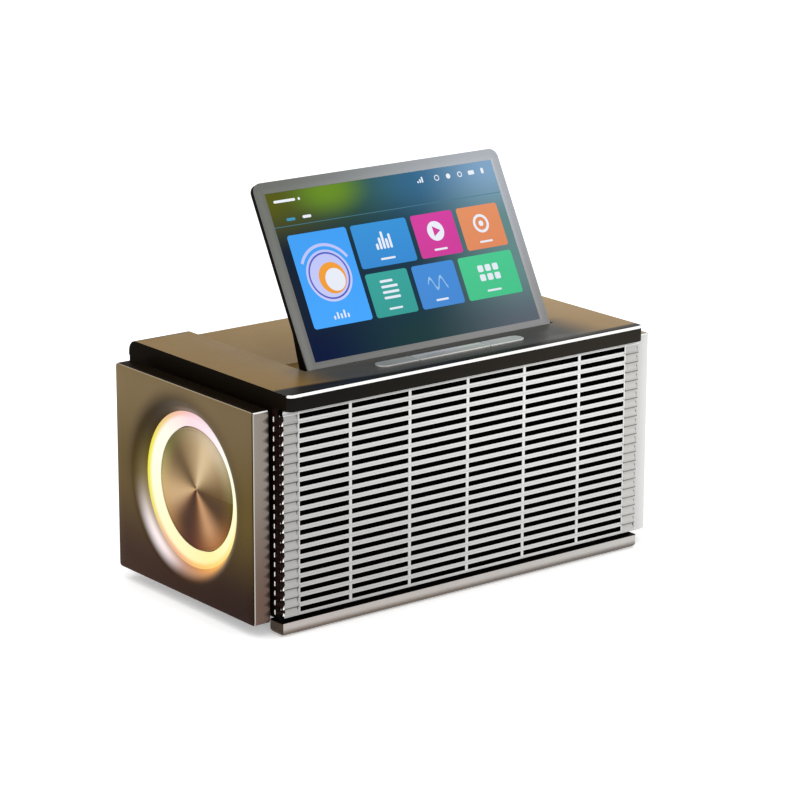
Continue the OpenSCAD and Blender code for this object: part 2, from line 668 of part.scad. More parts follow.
module volume_key() { color([0.04, 0.04, 0.04]) edge_key(93.2, 114.3); }
module screen_power_key() { color([0.04, 0.04, 0.04]) edge_key(79.0, 92.0); }

module hinge_sleeves() {
    color([0.60, 0.60, 0.62]) lean() for (s = [-1, 1]) to_side(s) annulus_x(0, 0, 2.05, 3.2, screen_hx - 10, screen_hx);
}
module hinge_pins() {
    color([0.66, 0.66, 0.68]) for (s = [-1, 1]) to_side(s) {
        rod_x(screen_hx - 9.5, well_hx + 5.2, hinge_y, hinge_z, 2);
        rod_x(well_hx + 5.1, well_hx + 6.6, hinge_y, hinge_z, 2);
    }
}
module hinge_brackets() {
    color([0.55, 0.55, 0.57]) for (s = [-1, 1]) to_side(s) difference() {
        union() {
            block(well_hx + 2.4, well_hx + 5.2, hinge_y - 8, hinge_y + 8, cover_top - 12, cover_top - skin);
            block(well_hx + 2.4, well_hx + 14, hinge_y - 8, hinge_y + 8, cover_top - 12, cover_top - 10);
        }
        rod_x(well_hx, well_hx + 8, hinge_y, hinge_z, 2);
    }
}

// ---------------------------------------------------------------- inside

module main_board() {
    color([0.04, 0.22, 0.12]) {
        block(-72, 72, -14, 70, 26, 27.6);
        for (x = [-66, 66], y = [-8, 64]) rod_z(cab_z0 + wall, 26, x, y, 3);
        for (x = [-60, -46, -32], y = [-4, 10]) rod_z(27.6, 42, x, y, 5);
        block(-20, 12, -8, 10, 27.6, 32);
        block(20, 40, -10, -2, 27.6, 36);
        block(-14, 14, 52, 62, 27.6, 31);
    }
}
module heat_sink() {
    color([0.70, 0.71, 0.73]) {
        block(16, 66, 14, 50, 27.6, 32);
        for (k = [0:7]) translate([18 + 6.4 * k, 14, 31.5]) cube([1.6, 36, 22]);
    }
}
module power_supply() {
    color([0.72, 0.72, 0.70]) difference() {
        block(92, 152, -8, 62, cab_z0 + wall, 52);
        for (k = [0:6]) block(91, 93.5, 0 + 8 * k, 4 + 8 * k, 24, 44);
    }
}
module battery_pack() {
    color([0.10, 0.28, 0.50]) for (j = [0:2], k = [0:1]) rod_y(-8, 60, -142 + 21 * j, cab_z0 + wall + 9.4 + 19 * k, 9.4);
    color([0.10, 0.10, 0.10]) block(-151.4, -90.6, 60, 64, cab_z0 + wall, cab_z0 + wall + 38);
    color([0.10, 0.10, 0.10]) block(-151.4, -90.6, -12, -8, cab_z0 + wall, cab_z0 + wall + 38);
}
module internal_wiring() {
    color([0.75, 0.60, 0.30]) {
        along_x(-12, 12) polygon([[-30, 32.2], [-29.6, 32.2], [-29.6, well_deep - 0.4], [-30, well_deep - 0.4]]);
        along_x(-12, 12) polygon([[-30, 31.8], [-8.2, 31.8], [-8.2, 32.2], [-30, 32.2]]);
    }
    color([0.55, 0.06, 0.05]) for (s = [-1, 1]) {
        to_side(s) {
            rod_x(52, woofer_x - 34, -30, woofer_z, 1.1);
            rod_z(36, woofer_z, 52, -30, 1.1);
            rod_y(-30, -10, 52, 36, 1.1);
            rod_z(27.6, 36, 52, -10, 1.1);
            for (q = [[-30, woofer_z], [-30, 36], [-10, 36]]) block(50.5, 53.5, q[0] - 1.5, q[0] + 1.5, q[1] - 1.5, q[1] + 1.5);
        }
    }
}
module housing_screws() {
    color([0.20, 0.20, 0.21]) {
        for (p = rear_at) translate([p[0], cab_y1, p[1]]) rotate([90, 0, 0]) screw();
        for (p = baffle_at) translate([p[0], baffle_y0 + 2.4, p[1]]) rotate([-90, 0, 0]) screw();
        for (p = rail_at) translate([p[0], p[1], 5]) screw();
        for (p = top_at) translate([p[0], p[1], 160]) screw();
        for (s = [-1, 1]) to_side(s) for (p = panel_at) translate([cab_x - wall, p[0], p[1]]) rotate([0, 90, 0]) screw();
    }
}

// from the middle between the feet to the middle of the whole box
module framed() { translate([0, (cover_front - cover_back) / 2, 0]) children(); }

framed() cabinet_shell();
framed() front_baffle();
framed() acoustic_cloth();
framed() grille();
framed() top_cover();
framed() fascia_strip();
framed() rear_cover();
framed() front_foot_rail();
framed() rear_foot_rail();
framed() foot_pads();
framed() side_panel_left();
framed() side_panel_right();
framed() panel_spacers();
framed() light_ring_left();
framed() light_ring_right();
framed() led_board_left();
framed() led_board_right();
framed() radiator_frame_left();
framed() radiator_frame_right();
framed() radiator_surround_left();
framed() radiator_surround_right();
framed() radiator_disc_left();
framed() radiator_disc_right();
framed() woofer_basket_left();
framed() woofer_basket_right();
framed() woofer_magnet_left();
framed() woofer_magnet_right();
framed() woofer_cone_left();
framed() woofer_cone_right();
framed() woofer_surround_left();
framed() woofer_surround_right();
framed() tweeter_left();
framed() tweeter_right();
framed() key_left();
framed() key_center();
framed() key_right();
framed() key_board();
framed() hinge_brackets();
framed() hinge_pins();
framed() hinge_sleeves();
framed() screen_rear_shell();
framed() screen_bezel();
framed() screen_glass();
framed() display_panel();
framed() screen_board();
framed() volume_key();
framed() screen_power_key();
framed() jack_plate();
framed() power_plate();
framed() microphone_sockets();
framed() aux_socket();
framed() usb_socket();
framed() power_inlet();
framed() rocker_frame();
framed() power_rocker();
framed() main_board();
framed() heat_sink();
framed() power_supply();
framed() battery_pack();
framed() internal_wiring();
framed() housing_screws();
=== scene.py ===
import json
import math
import bpy
import bmesh
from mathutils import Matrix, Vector

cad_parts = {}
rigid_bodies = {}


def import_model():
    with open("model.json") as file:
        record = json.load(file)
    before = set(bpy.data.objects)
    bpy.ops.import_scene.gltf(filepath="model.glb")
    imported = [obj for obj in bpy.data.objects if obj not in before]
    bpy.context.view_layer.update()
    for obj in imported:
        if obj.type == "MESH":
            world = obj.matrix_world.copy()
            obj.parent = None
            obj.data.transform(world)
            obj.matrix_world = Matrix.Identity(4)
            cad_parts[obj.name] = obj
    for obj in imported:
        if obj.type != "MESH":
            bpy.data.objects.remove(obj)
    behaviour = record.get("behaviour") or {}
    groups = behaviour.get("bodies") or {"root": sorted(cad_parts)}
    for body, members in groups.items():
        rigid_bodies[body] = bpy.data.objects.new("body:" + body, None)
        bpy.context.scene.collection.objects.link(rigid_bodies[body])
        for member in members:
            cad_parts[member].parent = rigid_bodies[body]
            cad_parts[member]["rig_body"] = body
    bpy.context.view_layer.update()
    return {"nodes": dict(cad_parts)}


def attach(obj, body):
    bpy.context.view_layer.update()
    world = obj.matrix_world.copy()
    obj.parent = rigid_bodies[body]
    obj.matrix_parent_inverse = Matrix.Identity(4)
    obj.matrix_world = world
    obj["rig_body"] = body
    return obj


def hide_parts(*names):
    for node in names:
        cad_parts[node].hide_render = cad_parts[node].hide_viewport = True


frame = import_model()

MM = 0.001
# lengths below are measured from the middle between the feet, which lies SY millimetres in front of the frame's Y zero
SY = 5.5
NODES = frame["nodes"]

# ---------------------------------------------------------------- camera

cam_data = bpy.data.cameras.new("camera")
cam = bpy.data.objects.new("camera", cam_data)
bpy.context.scene.collection.objects.link(cam)
bpy.context.scene.camera = cam
cam_data.sensor_width = 36.0
cam_data.sensor_fit = "HORIZONTAL"
cam_data.lens = 141.51
cam_data.shift_x = 0.0
cam_data.shift_y = 0.0
cam_data.dof.use_dof = False
cam_data.clip_start, cam_data.clip_end = 0.05, 60.0
fwd = Vector((0.59372965, 0.75836421, -0.26901456)).normalized()
up = Vector((0.16358259, 0.21358174, 0.96313217)).normalized()
right = fwd.cross(up).normalized()
up = right.cross(fwd).normalized()
cam.rotation_mode = "QUATERNION"
basis = [[right[i], up[i], -fwd[i]] for i in range(3)]
import mathutils
cam.rotation_quaternion = mathutils.Matrix(basis).to_quaternion()
cam.location = (-1.45394, -1.86608 - SY * MM, 0.79257)

bpy.context.scene.view_settings.view_transform = "Standard"
bpy.context.scene.view_settings.look = "None"
bpy.context.scene.view_settings.exposure = 0.0
bpy.context.scene.view_settings.gamma = 1.0


# ---------------------------------------------------------------- materials

def lin(r, g, b):
    """8-bit display colour to linear."""
    def one(c):
        c = c / 255.0
        return c / 12.92 if c <= 0.04045 else ((c + 0.055) / 1.055) ** 2.4
    return (one(r), one(g), one(b), 1.0)


class Mat:
    """One node material, grown a feature at a time."""

    def __init__(self, name):
        self.m = bpy.data.materials.new(name)
        self.m.use_nodes = True
        self.nt = self.m.node_tree
        self.nt.nodes.clear()
        self.out = self.n("ShaderNodeOutputMaterial")
        self.bs = self.n("ShaderNodeBsdfPrincipled")
        self.link(self.bs.outputs[0], self.out.inputs[0])
        self.tc = self.n("ShaderNodeTexCoord")
        place = self.n("ShaderNodeMapping")
        place.inputs["Location"].default_value = (0.0, SY * MM, 0.0)
        self.link(self.tc.outputs["Object"], place.inputs["Vector"])
        self.co = place.outputs[0]
        self.normal = None

    def n(self, kind, **props):
        node = self.nt.nodes.new(kind)
        for k, v in props.items():
            setattr(node, k, v)
        return node

    def link(self, a, b):
        self.nt.links.new(a, b)

    def put(self, sock, value):
        s = self.bs.inputs[sock]
        if hasattr(value, "is_linked") or hasattr(value, "links"):
            self.link(value, s)
        else:
            s.default_value = value

    def obj(self, scale=(1, 1, 1), loc=(0, 0, 0), rot=(0, 0, 0), src=None):
        mp = self.n("ShaderNodeMapping")
        mp.inputs["Scale"].default_value = scale
        mp.inputs["Location"].default_value = loc
        mp.inputs["Rotation"].default_value = rot
        self.link(src or self.co, mp.inputs["Vector"])
        return mp.outputs[0]

    def noise(self, scale, detail=3.0, rough=0.5, vec=None):
        t = self.n("ShaderNodeTexNoise")
        t.inputs["Scale"].default_value = scale
        t.inputs["Detail"].default_value = detail
        t.inputs["Roughness"].default_value = rough
        self.link(vec or self.co, t.inputs["Vector"])
        return t.outputs["Fac"]

    def ranged(self, value, a, b, lo=0.0, hi=1.0, smooth=False):
        r = self.n("ShaderNodeMapRange")
        if smooth:
            r.interpolation_type = "SMOOTHSTEP"
        r.inputs["From Min"].default_value = a
        r.inputs["From Max"].default_value = b
        r.inputs["To Min"].default_value = lo
        r.inputs["To Max"].default_value = hi
        self.link(value, r.inputs["Value"])
        return r.outputs["Result"]

    def math(self, op, a, b=None, c=None):
        t = self.n("ShaderNodeMath", operation=op)
        for i, x in enumerate((a, b, c)):
            if x is None:
                continue
            if isinstance(x, (int, float)):
                t.inputs[i].default_value = x
            else:
                self.link(x, t.inputs[i])
        return t.outputs[0]

    def mix(self, fac, a, b, mode="MIX"):
        t = self.n("ShaderNodeMix", data_type="RGBA", blend_type=mode)
        for sock, x in ((t.inputs[0], fac), (t.inputs[6], a), (t.inputs[7], b)):
            if isinstance(x, (int, float)):
                sock.default_value = x
            elif isinstance(x, tuple):
                sock.default_value = x
            else:
                self.link(x, sock)
        return t.outputs[2]

    def ramp(self, value, stops, interp="B_SPLINE"):
        t = self.n("ShaderNodeValToRGB")
        t.color_ramp.interpolation = interp
        els = t.color_ramp.elements
        els[0].position, els[0].color = stops[0]
        els[1].position, els[1].color = stops[-1]
        for p, col in stops[1:-1]:
            els.new(p).color = col
        self.link(value, t.inputs[0])
        return t.outputs[0]

    def add(self, a, b):
        """Two colours added up."""
        t = self.n("ShaderNodeVectorMath", operation="ADD")
        for sock, x in ((t.inputs[0], a), (t.inputs[1], b)):
            if isinstance(x, tuple):
                sock.default_value = x[:3]
            else:
                self.link(x, sock)
        return t.outputs[0]

    def xyz(self, vec=None):
        s = self.n("ShaderNodeSeparateXYZ")
        self.link(vec or self.co, s.inputs[0])
        return s.outputs

    def scaled(self, col, value):
        """Colour times a number."""
        t = self.n("ShaderNodeVectorMath", operation="SCALE")
        if isinstance(col, tuple):
            t.inputs[0].default_value = col[:3]
        else:
            self.link(col, t.inputs[0])
        if isinstance(value, (int, float)):
            t.inputs["Scale"].default_value = value
        else:
            self.link(value, t.inputs["Scale"])
        return t.outputs[0]

    def bump(self, height, strength, distance):
        b = self.n("ShaderNodeBump")
        b.inputs["Strength"].default_value = strength
        b.inputs["Distance"].default_value = distance
        self.link(height, b.inputs["Height"])
        if self.normal is not None:
            self.link(self.normal, b.inputs["Normal"])
        self.normal = b.outputs[0]
        self.link(self.normal, self.bs.inputs["Normal"])


def coated(name, col, rough=0.4, metal=0.0, spec=0.5, vary=0.08, vscale=18.0, rvar=0.05,
           grain=2600.0, gdepth=0.00003, gstrength=0.25, coat=0.0, coat_rough=0.1, streak=None, ior=None):
    """A painted, moulded or anodised surface: cloudy colour, uneven gloss and a fine grain. streak = (x, y, z) scales for a brushed finish."""
    m = Mat(name)
    vec = m.obj(scale=streak) if streak else None
    cloud = m.noise(vscale, 4.0, 0.6)
    fine = m.noise(grain if not streak else 1.0, 2.0, 0.5, vec)
    if isinstance(col, tuple):
        base = col
    else:
        base = col(m)
    k = m.ranged(cloud, 0.3, 0.7, 1.0 - vary, 1.0 + vary)
    k2 = m.ranged(fine, 0.3, 0.7, 1.0 - vary * 0.6, 1.0 + vary * 0.6)
    m.put("Base Color", m.scaled(base, m.math("MULTIPLY", k, k2)))
    r = m.ranged(m.noise(vscale * 3.1, 3.0, 0.6), 0.3, 0.7, rough - rvar, rough + rvar)
    m.put("Roughness", r)
    m.put("Metallic", metal)
    m.put("Specular IOR Level", spec)
    if ior:
        m.put("IOR", ior)
    if coat:
        m.put("Coat Weight", coat)
        m.put("Coat Roughness", coat_rough)
    if gstrength:
        m.bump(fine, gstrength, gdepth)
    return m


def corners(c00, c10, c01, c11, axis_u, u0, u1, axis_v, v0, v1):
    """Base colour that drifts across the part, from colours at four corners of the object's own axes."""
    def make(m):
        c = m.xyz()
        u = m.ranged(c["XYZ".index(axis_u)], u0, u1, smooth=True)
        v = m.ranged(c["XYZ".index(axis_v)], v0, v1, smooth=True)
        return m.mix(v, m.mix(u, c00, c10), m.mix(u, c01, c11))
    return make


def polar(m):
    """Radius and turn about the ring's axis: the turn is 0.5 at the back, 0.75 at the top, 0 and 1 at the front."""
    c = m.xyz(m.obj(loc=(0, -0.0075, -0.0912)))
    rad = m.math("SQRT", m.math("ADD", m.math("MULTIPLY", c[1], c[1]), m.math("MULTIPLY", c[2], c[2])))
    return rad, m.ranged(m.math("ARCTAN2", c[2], c[1]), -math.pi, math.pi)


def bell(m, value, lo, mid, hi):
    """0 at lo and hi, 1 at mid, eased."""
    return m.math("MULTIPLY", m.ranged(value, lo, mid, smooth=True), m.ranged(value, mid, hi, 1.0, 0.0, smooth=True))


MATS = {}


def build_materials():
    g = MATS
    g["cover"] = cover_with_painted_light()
    g["cover_side"] = coated("cover_side_gloss", lin(20, 15, 9), rough=0.3, spec=0.06, vary=0.05, ior=1.12)
    # painted highlight: a light line on the rounded top edge at the sides
    g["cover_line"] = coated("cover_edge_painted_highlight", lin(176, 166, 142), rough=0.3, metal=0.3, spec=0.4, vary=0.03)
    # painted light: the black strip is painted lighter towards the right
    g["fascia"] = coated("fascia_gloss", corners(lin(24, 23, 21), lin(46, 42, 37), lin(24, 23, 21), lin(46, 42, 37), "X", -0.172, 0.172,
                                                 "Z", 0.173, 0.186), rough=0.25, spec=0.05, vary=0.04, gstrength=0.05, ior=1.2)
    # painted highlight: the near-white line along the strip's top front edge
    g["chamfer"] = coated("painted_edge_highlight", lin(252, 252, 250), rough=0.3, metal=0.15, spec=0.6, vary=0.01, gstrength=0.05)
    g["grille"] = coated("grille_paint_and_painted_shade", slat_paint_with_painted_shade, rough=0.4, metal=0.05, spec=0.25, vary=0.02, vscale=30.0,
                         grain=4200.0, gstrength=0.12)
    # painted shade: near-black for the slats' inner faces
    g["void"] = coated("slat_inner_painted_shade", lin(3, 3, 3), rough=0.9, spec=0.0, vary=0.2, gstrength=0.2)
    g["column"] = coated("grille_column_paint_and_painted_shade", column_with_painted_shade, rough=0.45, metal=0.05, spec=0.2, vary=0.03, vscale=40.0)
    g["column_side"] = coated("column_side_painted_shade", lin(28, 18, 16), rough=0.3, spec=0.2, vary=0.15, vscale=300.0, ior=1.2)
    g["panel"] = panel_with_painted_light()
    g["panel_edge_left"] = coated("panel_edge_left_painted_reflection", edge_left_with_painted_reflection, rough=0.35, metal=0.2, spec=0.08, vary=0.02)
    g["panel_edge_right"] = coated("panel_edge_right_finish", edge_finish_right, rough=0.35, metal=0.2, spec=0.1, vary=0.02)
    # painted light on the panel's edges: a dark reflection on the top face, light and white highlight lines and a
    # shaded strip on the roundings
    g["panel_top"] = coated("panel_top_painted_dark_reflection", lin(20, 14, 8), rough=0.25, spec=0.05, vary=0.1, ior=1.12)
    g["panel_line"] = coated("panel_edge_painted_highlight", lin(152, 138, 112), rough=0.3, metal=0.3, spec=0.2, vary=0.03)
    g["panel_corner"] = coated("panel_corner_painted_highlight", lin(172, 166, 156), rough=0.3, metal=0.3, spec=0.3, vary=0.03)
    g["panel_white"] = coated("panel_edge_painted_glint", lin(244, 243, 241), rough=0.3, metal=0.2, spec=0.5, vary=0.02)
    g["panel_dark"] = coated("panel_edge_painted_shade", lin(34, 20, 12), rough=0.3, spec=0.1, vary=0.05, ior=1.12)
    g["notch"] = coated("notch_shadow", lin(38, 28, 23), rough=0.5, spec=0.1, vary=0.05)
    g["body_dark"] = coated("cabinet_lacquer", lin(18, 13, 8), rough=0.45, spec=0.06, vary=0.08, grain=1800.0, gstrength=0.2, ior=1.12)
    g["comb"] = coated("comb_gloss", lin(34, 20, 18), rough=0.25, spec=0.2, vary=0.2, vscale=400.0, ior=1.2)
    g["nib"] = coated("nib_painted_highlight", lin(252, 251, 248), rough=0.2, metal=0.2, spec=0.6, vary=0.02)
    g["baffle"] = coated("baffle_board", lin(12, 12, 12), rough=0.8, spec=0.1, vary=0.15, grain=900.0)
    g["rubber"] = coated("moulded_rubber", lin(28, 28, 28), rough=0.75, spec=0.25, vary=0.12, grain=1500.0, gstrength=0.5)
    g["frame_black"] = coated("black_enamel", lin(24, 24, 25), rough=0.4, spec=0.4, vary=0.08)
    g["basket"] = coated("pressed_basket", lin(48, 48, 50), rough=0.42, metal=0.5, vary=0.08)
    g["magnet"] = coated("ferrite", lin(52, 52, 54), rough=0.65, vary=0.14, grain=1200.0, gstrength=0.6)
    g["cone"] = coated("paper_cone", lin(44, 44, 45), rough=0.8, spec=0.2, vary=0.16, grain=700.0, gstrength=0.8)
    g["dome"] = coated("silk_dome", lin(40, 40, 42), rough=0.6, vary=0.12, grain=2400.0, gstrength=0.5)
    g["rail"] = coated("rail_with_painted_shade", rail_with_painted_shade, rough=0.34, metal=0.3, spec=0.2, vary=0.03, grain=5200.0, gstrength=0.12)
    g["rail_top"] = coated("rail_top_gloss", lin(16, 13, 11), rough=0.3, spec=0.05, vary=0.1, ior=1.12)
    # painted light: the left end is a shaded dark brown copy and the right end a lit near-white copy
    g["rail_end_left"] = coated("rail_end_left_painted_shade", lin(62, 46, 34), rough=0.3, metal=0.2, spec=0.2, vary=0.12, vscale=160.0)
    g["rail_end_right"] = coated("rail_end_right_painted_highlight", lin(226, 224, 220), rough=0.3, metal=0.2, spec=0.3, vary=0.04)
    # painted light: the keys run lighter towards the right and the back
    g["key"] = coated("key_satin", corners(lin(180, 178, 175), lin(220, 218, 214), lin(190, 188, 185), lin(231, 229, 225), "X", -0.071, 0.030,
                                           "Y", -0.078, -0.064), rough=0.3, metal=0.6, spec=0.5, vary=0.01, streak=(60.0, 4200.0, 900.0),
                      gstrength=0.03)
    g["steel"] = coated("turned_steel", lin(172, 172, 174), rough=0.26, metal=1.0, vary=0.04, streak=(3000.0, 200.0, 200.0))
    g["shell"] = coated("screen_shell_plastic", lin(10, 9, 8), rough=0.4, spec=0.05, vary=0.08, grain=3200.0, gstrength=0.3, ior=1.2)
    g["bezel"] = coated("screen_frame_metal", bezel_with_painted_shade, rough=0.34, metal=0.5, spec=0.3, vary=0.02, vscale=14.0, grain=6000.0,
                        gstrength=0.12)
    g["display"] = coated("display_back_steel", lin(120, 122, 126), rough=0.35, metal=0.9, vary=0.05)
    g["jack_metal"] = coated("socket_nickel", lin(186, 186, 188), rough=0.24, metal=1.0, vary=0.04, streak=(400.0, 2400.0, 400.0))
    g["plate"] = coated("anodised_plate", lin(58, 58, 60), rough=0.38, metal=0.7, vary=0.04, streak=(60.0, 3000.0, 3200.0))
    g["socket_black"] = coated("socket_nylon", lin(26, 26, 27), rough=0.5, spec=0.35, vary=0.1, grain=1800.0, gstrength=0.4)
    g["rocker"] = coated("rocker_gloss", lin(22, 22, 22), rough=0.2, spec=0.5, vary=0.06)
    g["heatsink"] = coated("extruded_aluminium", lin(190, 191, 194), rough=0.36, metal=0.95, vary=0.05, streak=(2000.0, 60.0, 2000.0))
    g["psu"] = coated("zinc_case", lin(184, 184, 182), rough=0.4, metal=0.9, vary=0.12, vscale=60.0)
    g["screw"] = coated("blackened_steel", lin(66, 66, 68), rough=0.34, metal=0.9, vary=0.1)
    g["wire"] = coated("wire_sleeve", lin(150, 60, 44), rough=0.55, vary=0.1)

    # circuit boards: solder mask with faint tracks
    m = Mat("solder_mask")
    tracks = m.n("ShaderNodeTexBrick")
    tracks.inputs["Scale"].default_value = 260.0
    tracks.inputs["Color1"].default_value = lin(20, 92, 50)
    tracks.inputs["Color2"].default_value = lin(16, 80, 44)
    tracks.inputs["Mortar"].default_value = lin(60, 128, 70)
    tracks.inputs["Mortar Size"].default_value = 0.012
    m.link(m.co, tracks.inputs["Vector"])
    m.put("Base Color", tracks.outputs["Color"])
    m.put("Roughness", m.ranged(m.noise(120.0), 0.3, 0.7, 0.28, 0.42))
    m.bump(tracks.outputs["Fac"], 0.3, 0.00005)
    g["pcb"] = m
    m = Mat("white_mask")
    m.put("Base Color", m.mix(m.ranged(m.noise(900.0), 0.62, 0.66), lin(232, 231, 226), lin(206, 196, 150)))
    m.put("Roughness", m.ranged(m.noise(120.0), 0.3, 0.7, 0.3, 0.45))
    g["pcb_white"] = m
    # battery sleeve: shrink film with soft creases
    m = Mat("shrink_sleeve")
    w = m.noise(60.0, 4.0, 0.6, m.obj(scale=(1.0, 0.15, 1.0)))
    m.put("Base Color", m.mix(m.ranged(w, 0.35, 0.7), lin(30, 84, 150), lin(48, 104, 172)))
    m.put("Roughness", m.ranged(w, 0.3, 0.7, 0.22, 0.38))
    m.bump(w, 0.5, 0.0004)
    g["battery"] = m
    # woven acoustic cloth
    m = Mat("acoustic_weave")
    c = m.xyz()
    wx = m.math("SINE", m.math("MULTIPLY", c[0], 2 * math.pi / 0.0011))
    wz = m.math("SINE", m.math("MULTIPLY", c[2], 2 * math.pi / 0.0011))
    over = m.math("MULTIPLY", wx, wz)
    h = m.ranged(over, -1.0, 1.0)
    m.put("Base Color", m.mix(h, lin(2, 2, 2), lin(9, 9, 9)))
    m.put("Roughness", 0.95)
    m.put("Specular IOR Level", 0.02)
    m.bump(h, 0.4, 0.0002)
    g["cloth"] = m
    # spun plate: fine turning rings, tangent round the axis
    for side in ("left", "right"):
        m = Mat("spun_plate_" + side)
        r, turn = polar(m)
        rings = m.n("ShaderNodeTexNoise")
        rings.inputs["Scale"].default_value = 1.0
        rings.inputs["Detail"].default_value = 4.0
        rings.inputs["Roughness"].default_value = 0.7
        comb = m.n("ShaderNodeCombineXYZ")
        m.link(m.math("MULTIPLY", r, 2600.0), comb.inputs[0])
        m.link(comb.outputs[0], rings.inputs["Vector"])
        # painted highlights: lighter and darker sectors standing in for the conic sheen of the turned metal
        painted_sectors = m.ramp(turn, PAINTED_SECTOR_SHEEN)
        rim = m.ranged(r, 0.030, 0.0475, smooth=True)
        painted_sectors = m.mix(m.math("MULTIPLY", rim, 0.75), painted_sectors, m.ramp(turn, PAINTED_EDGE_SHEEN))
        k = m.ranged(rings.outputs["Fac"], 0.3, 0.7, 0.93, 1.07)
        m.put("Base Color", m.scaled(painted_sectors, k))
        m.put("Metallic", 0.6)
        m.put("Roughness", m.ranged(rings.outputs["Fac"], 0.3, 0.7, 0.26, 0.36))
        m.put("Specular IOR Level", 0.05)
        m.put("Anisotropic", 0.6)
        tan = m.n("ShaderNodeTangent", direction_type="RADIAL", axis="X")
        m.link(tan.outputs[0], m.bs.inputs["Tangent"])
        m.bump(rings.outputs["Fac"], 0.12, 0.00004)
        g["disc_" + side] = m
        # light ring: frosted lens lit from behind, its colour drifting round the ring
        m = Mat("ring_lens_" + side)
        r, turn = polar(m)
        edge = m.ranged(r, 0.0545, 0.0592, smooth=True)
        col = m.mix(edge, m.ramp(turn, CORE), m.ramp(turn, RING))
        diff = m.ranged(m.noise(500.0, 2.0), 0.3, 0.7, 0.98, 1.02)
        m.put("Base Color", m.scaled(col, 0.04))
        m.put("Emission Color", m.scaled(col, diff))
        m.put("Emission Strength", 1.0)
        m.put("Specular IOR Level", 0.05)
        m.put("Roughness", m.ranged(m.noise(300.0, 2.0), 0.3, 0.7, 0.45, 0.6))
        g["ring_" + side] = m


def cover_with_painted_light():
    """Gold-brown satin top with painted light: lighter to the right and back, a painted dark reflection along the front
    edge, and a painted grey reflection of the screen where it leans over it.
    """
    m = Mat("cover_with_painted_light")
    c = m.xyz()
    # painted light: the top runs lighter to the right and towards the back
    u = m.ranged(c[0], -0.172, 0.172, smooth=True)
    v = m.ranged(c[1], -0.0956, 0.100, smooth=True)
    base = m.mix(v, m.mix(u, lin(128, 101, 56), lin(148, 121, 80)), m.mix(u, lin(130, 103, 54), lin(173, 144, 96)))
    # painted reflection: a broad grey image of the screen in front of it and in the well
    fx = m.math("MULTIPLY", m.ranged(c[0], -0.150, -0.105, smooth=True), m.ranged(c[0], 0.105, 0.150, 1.0, 0.0, smooth=True))
    fy = m.math("MULTIPLY", m.ranged(c[1], -0.0956, -0.088, 0.75, 1.0, smooth=True), m.ranged(c[1], -0.046, -0.030, 1.0, 0.0, smooth=True))
    base = m.mix(m.math("MULTIPLY", fx, fy), base, lin(76, 76, 73))
    # painted dark reflection along the front edge, wider to the left
    y0 = m.ranged(c[0], -0.172, -0.06, -0.0805, -0.0908, smooth=True)
    d = m.math("SUBTRACT", c[1], y0)
    base = m.mix(m.ranged(d, -0.0016, 0.0034, 1.0, 0.0, smooth=True), base, lin(30, 28, 26))
    cloud = m.noise(9.0, 4.0, 0.6)
    fine = m.noise(5200.0, 2.0, 0.5)
    k = m.math("MULTIPLY", m.ranged(cloud, 0.3, 0.7, 0.97, 1.03), m.ranged(fine, 0.3, 0.7, 0.985, 1.015))
    m.put("Base Color", m.scaled(base, k))
    m.put("Roughness", m.ranged(m.noise(28.0, 3.0, 0.6), 0.3, 0.7, 0.25, 0.33))
    m.put("Metallic", 0.3)
    m.put("Specular IOR Level", 0.05)
    m.put("IOR", 1.12)
    m.bump(fine, 0.04, 0.00003)
    return m


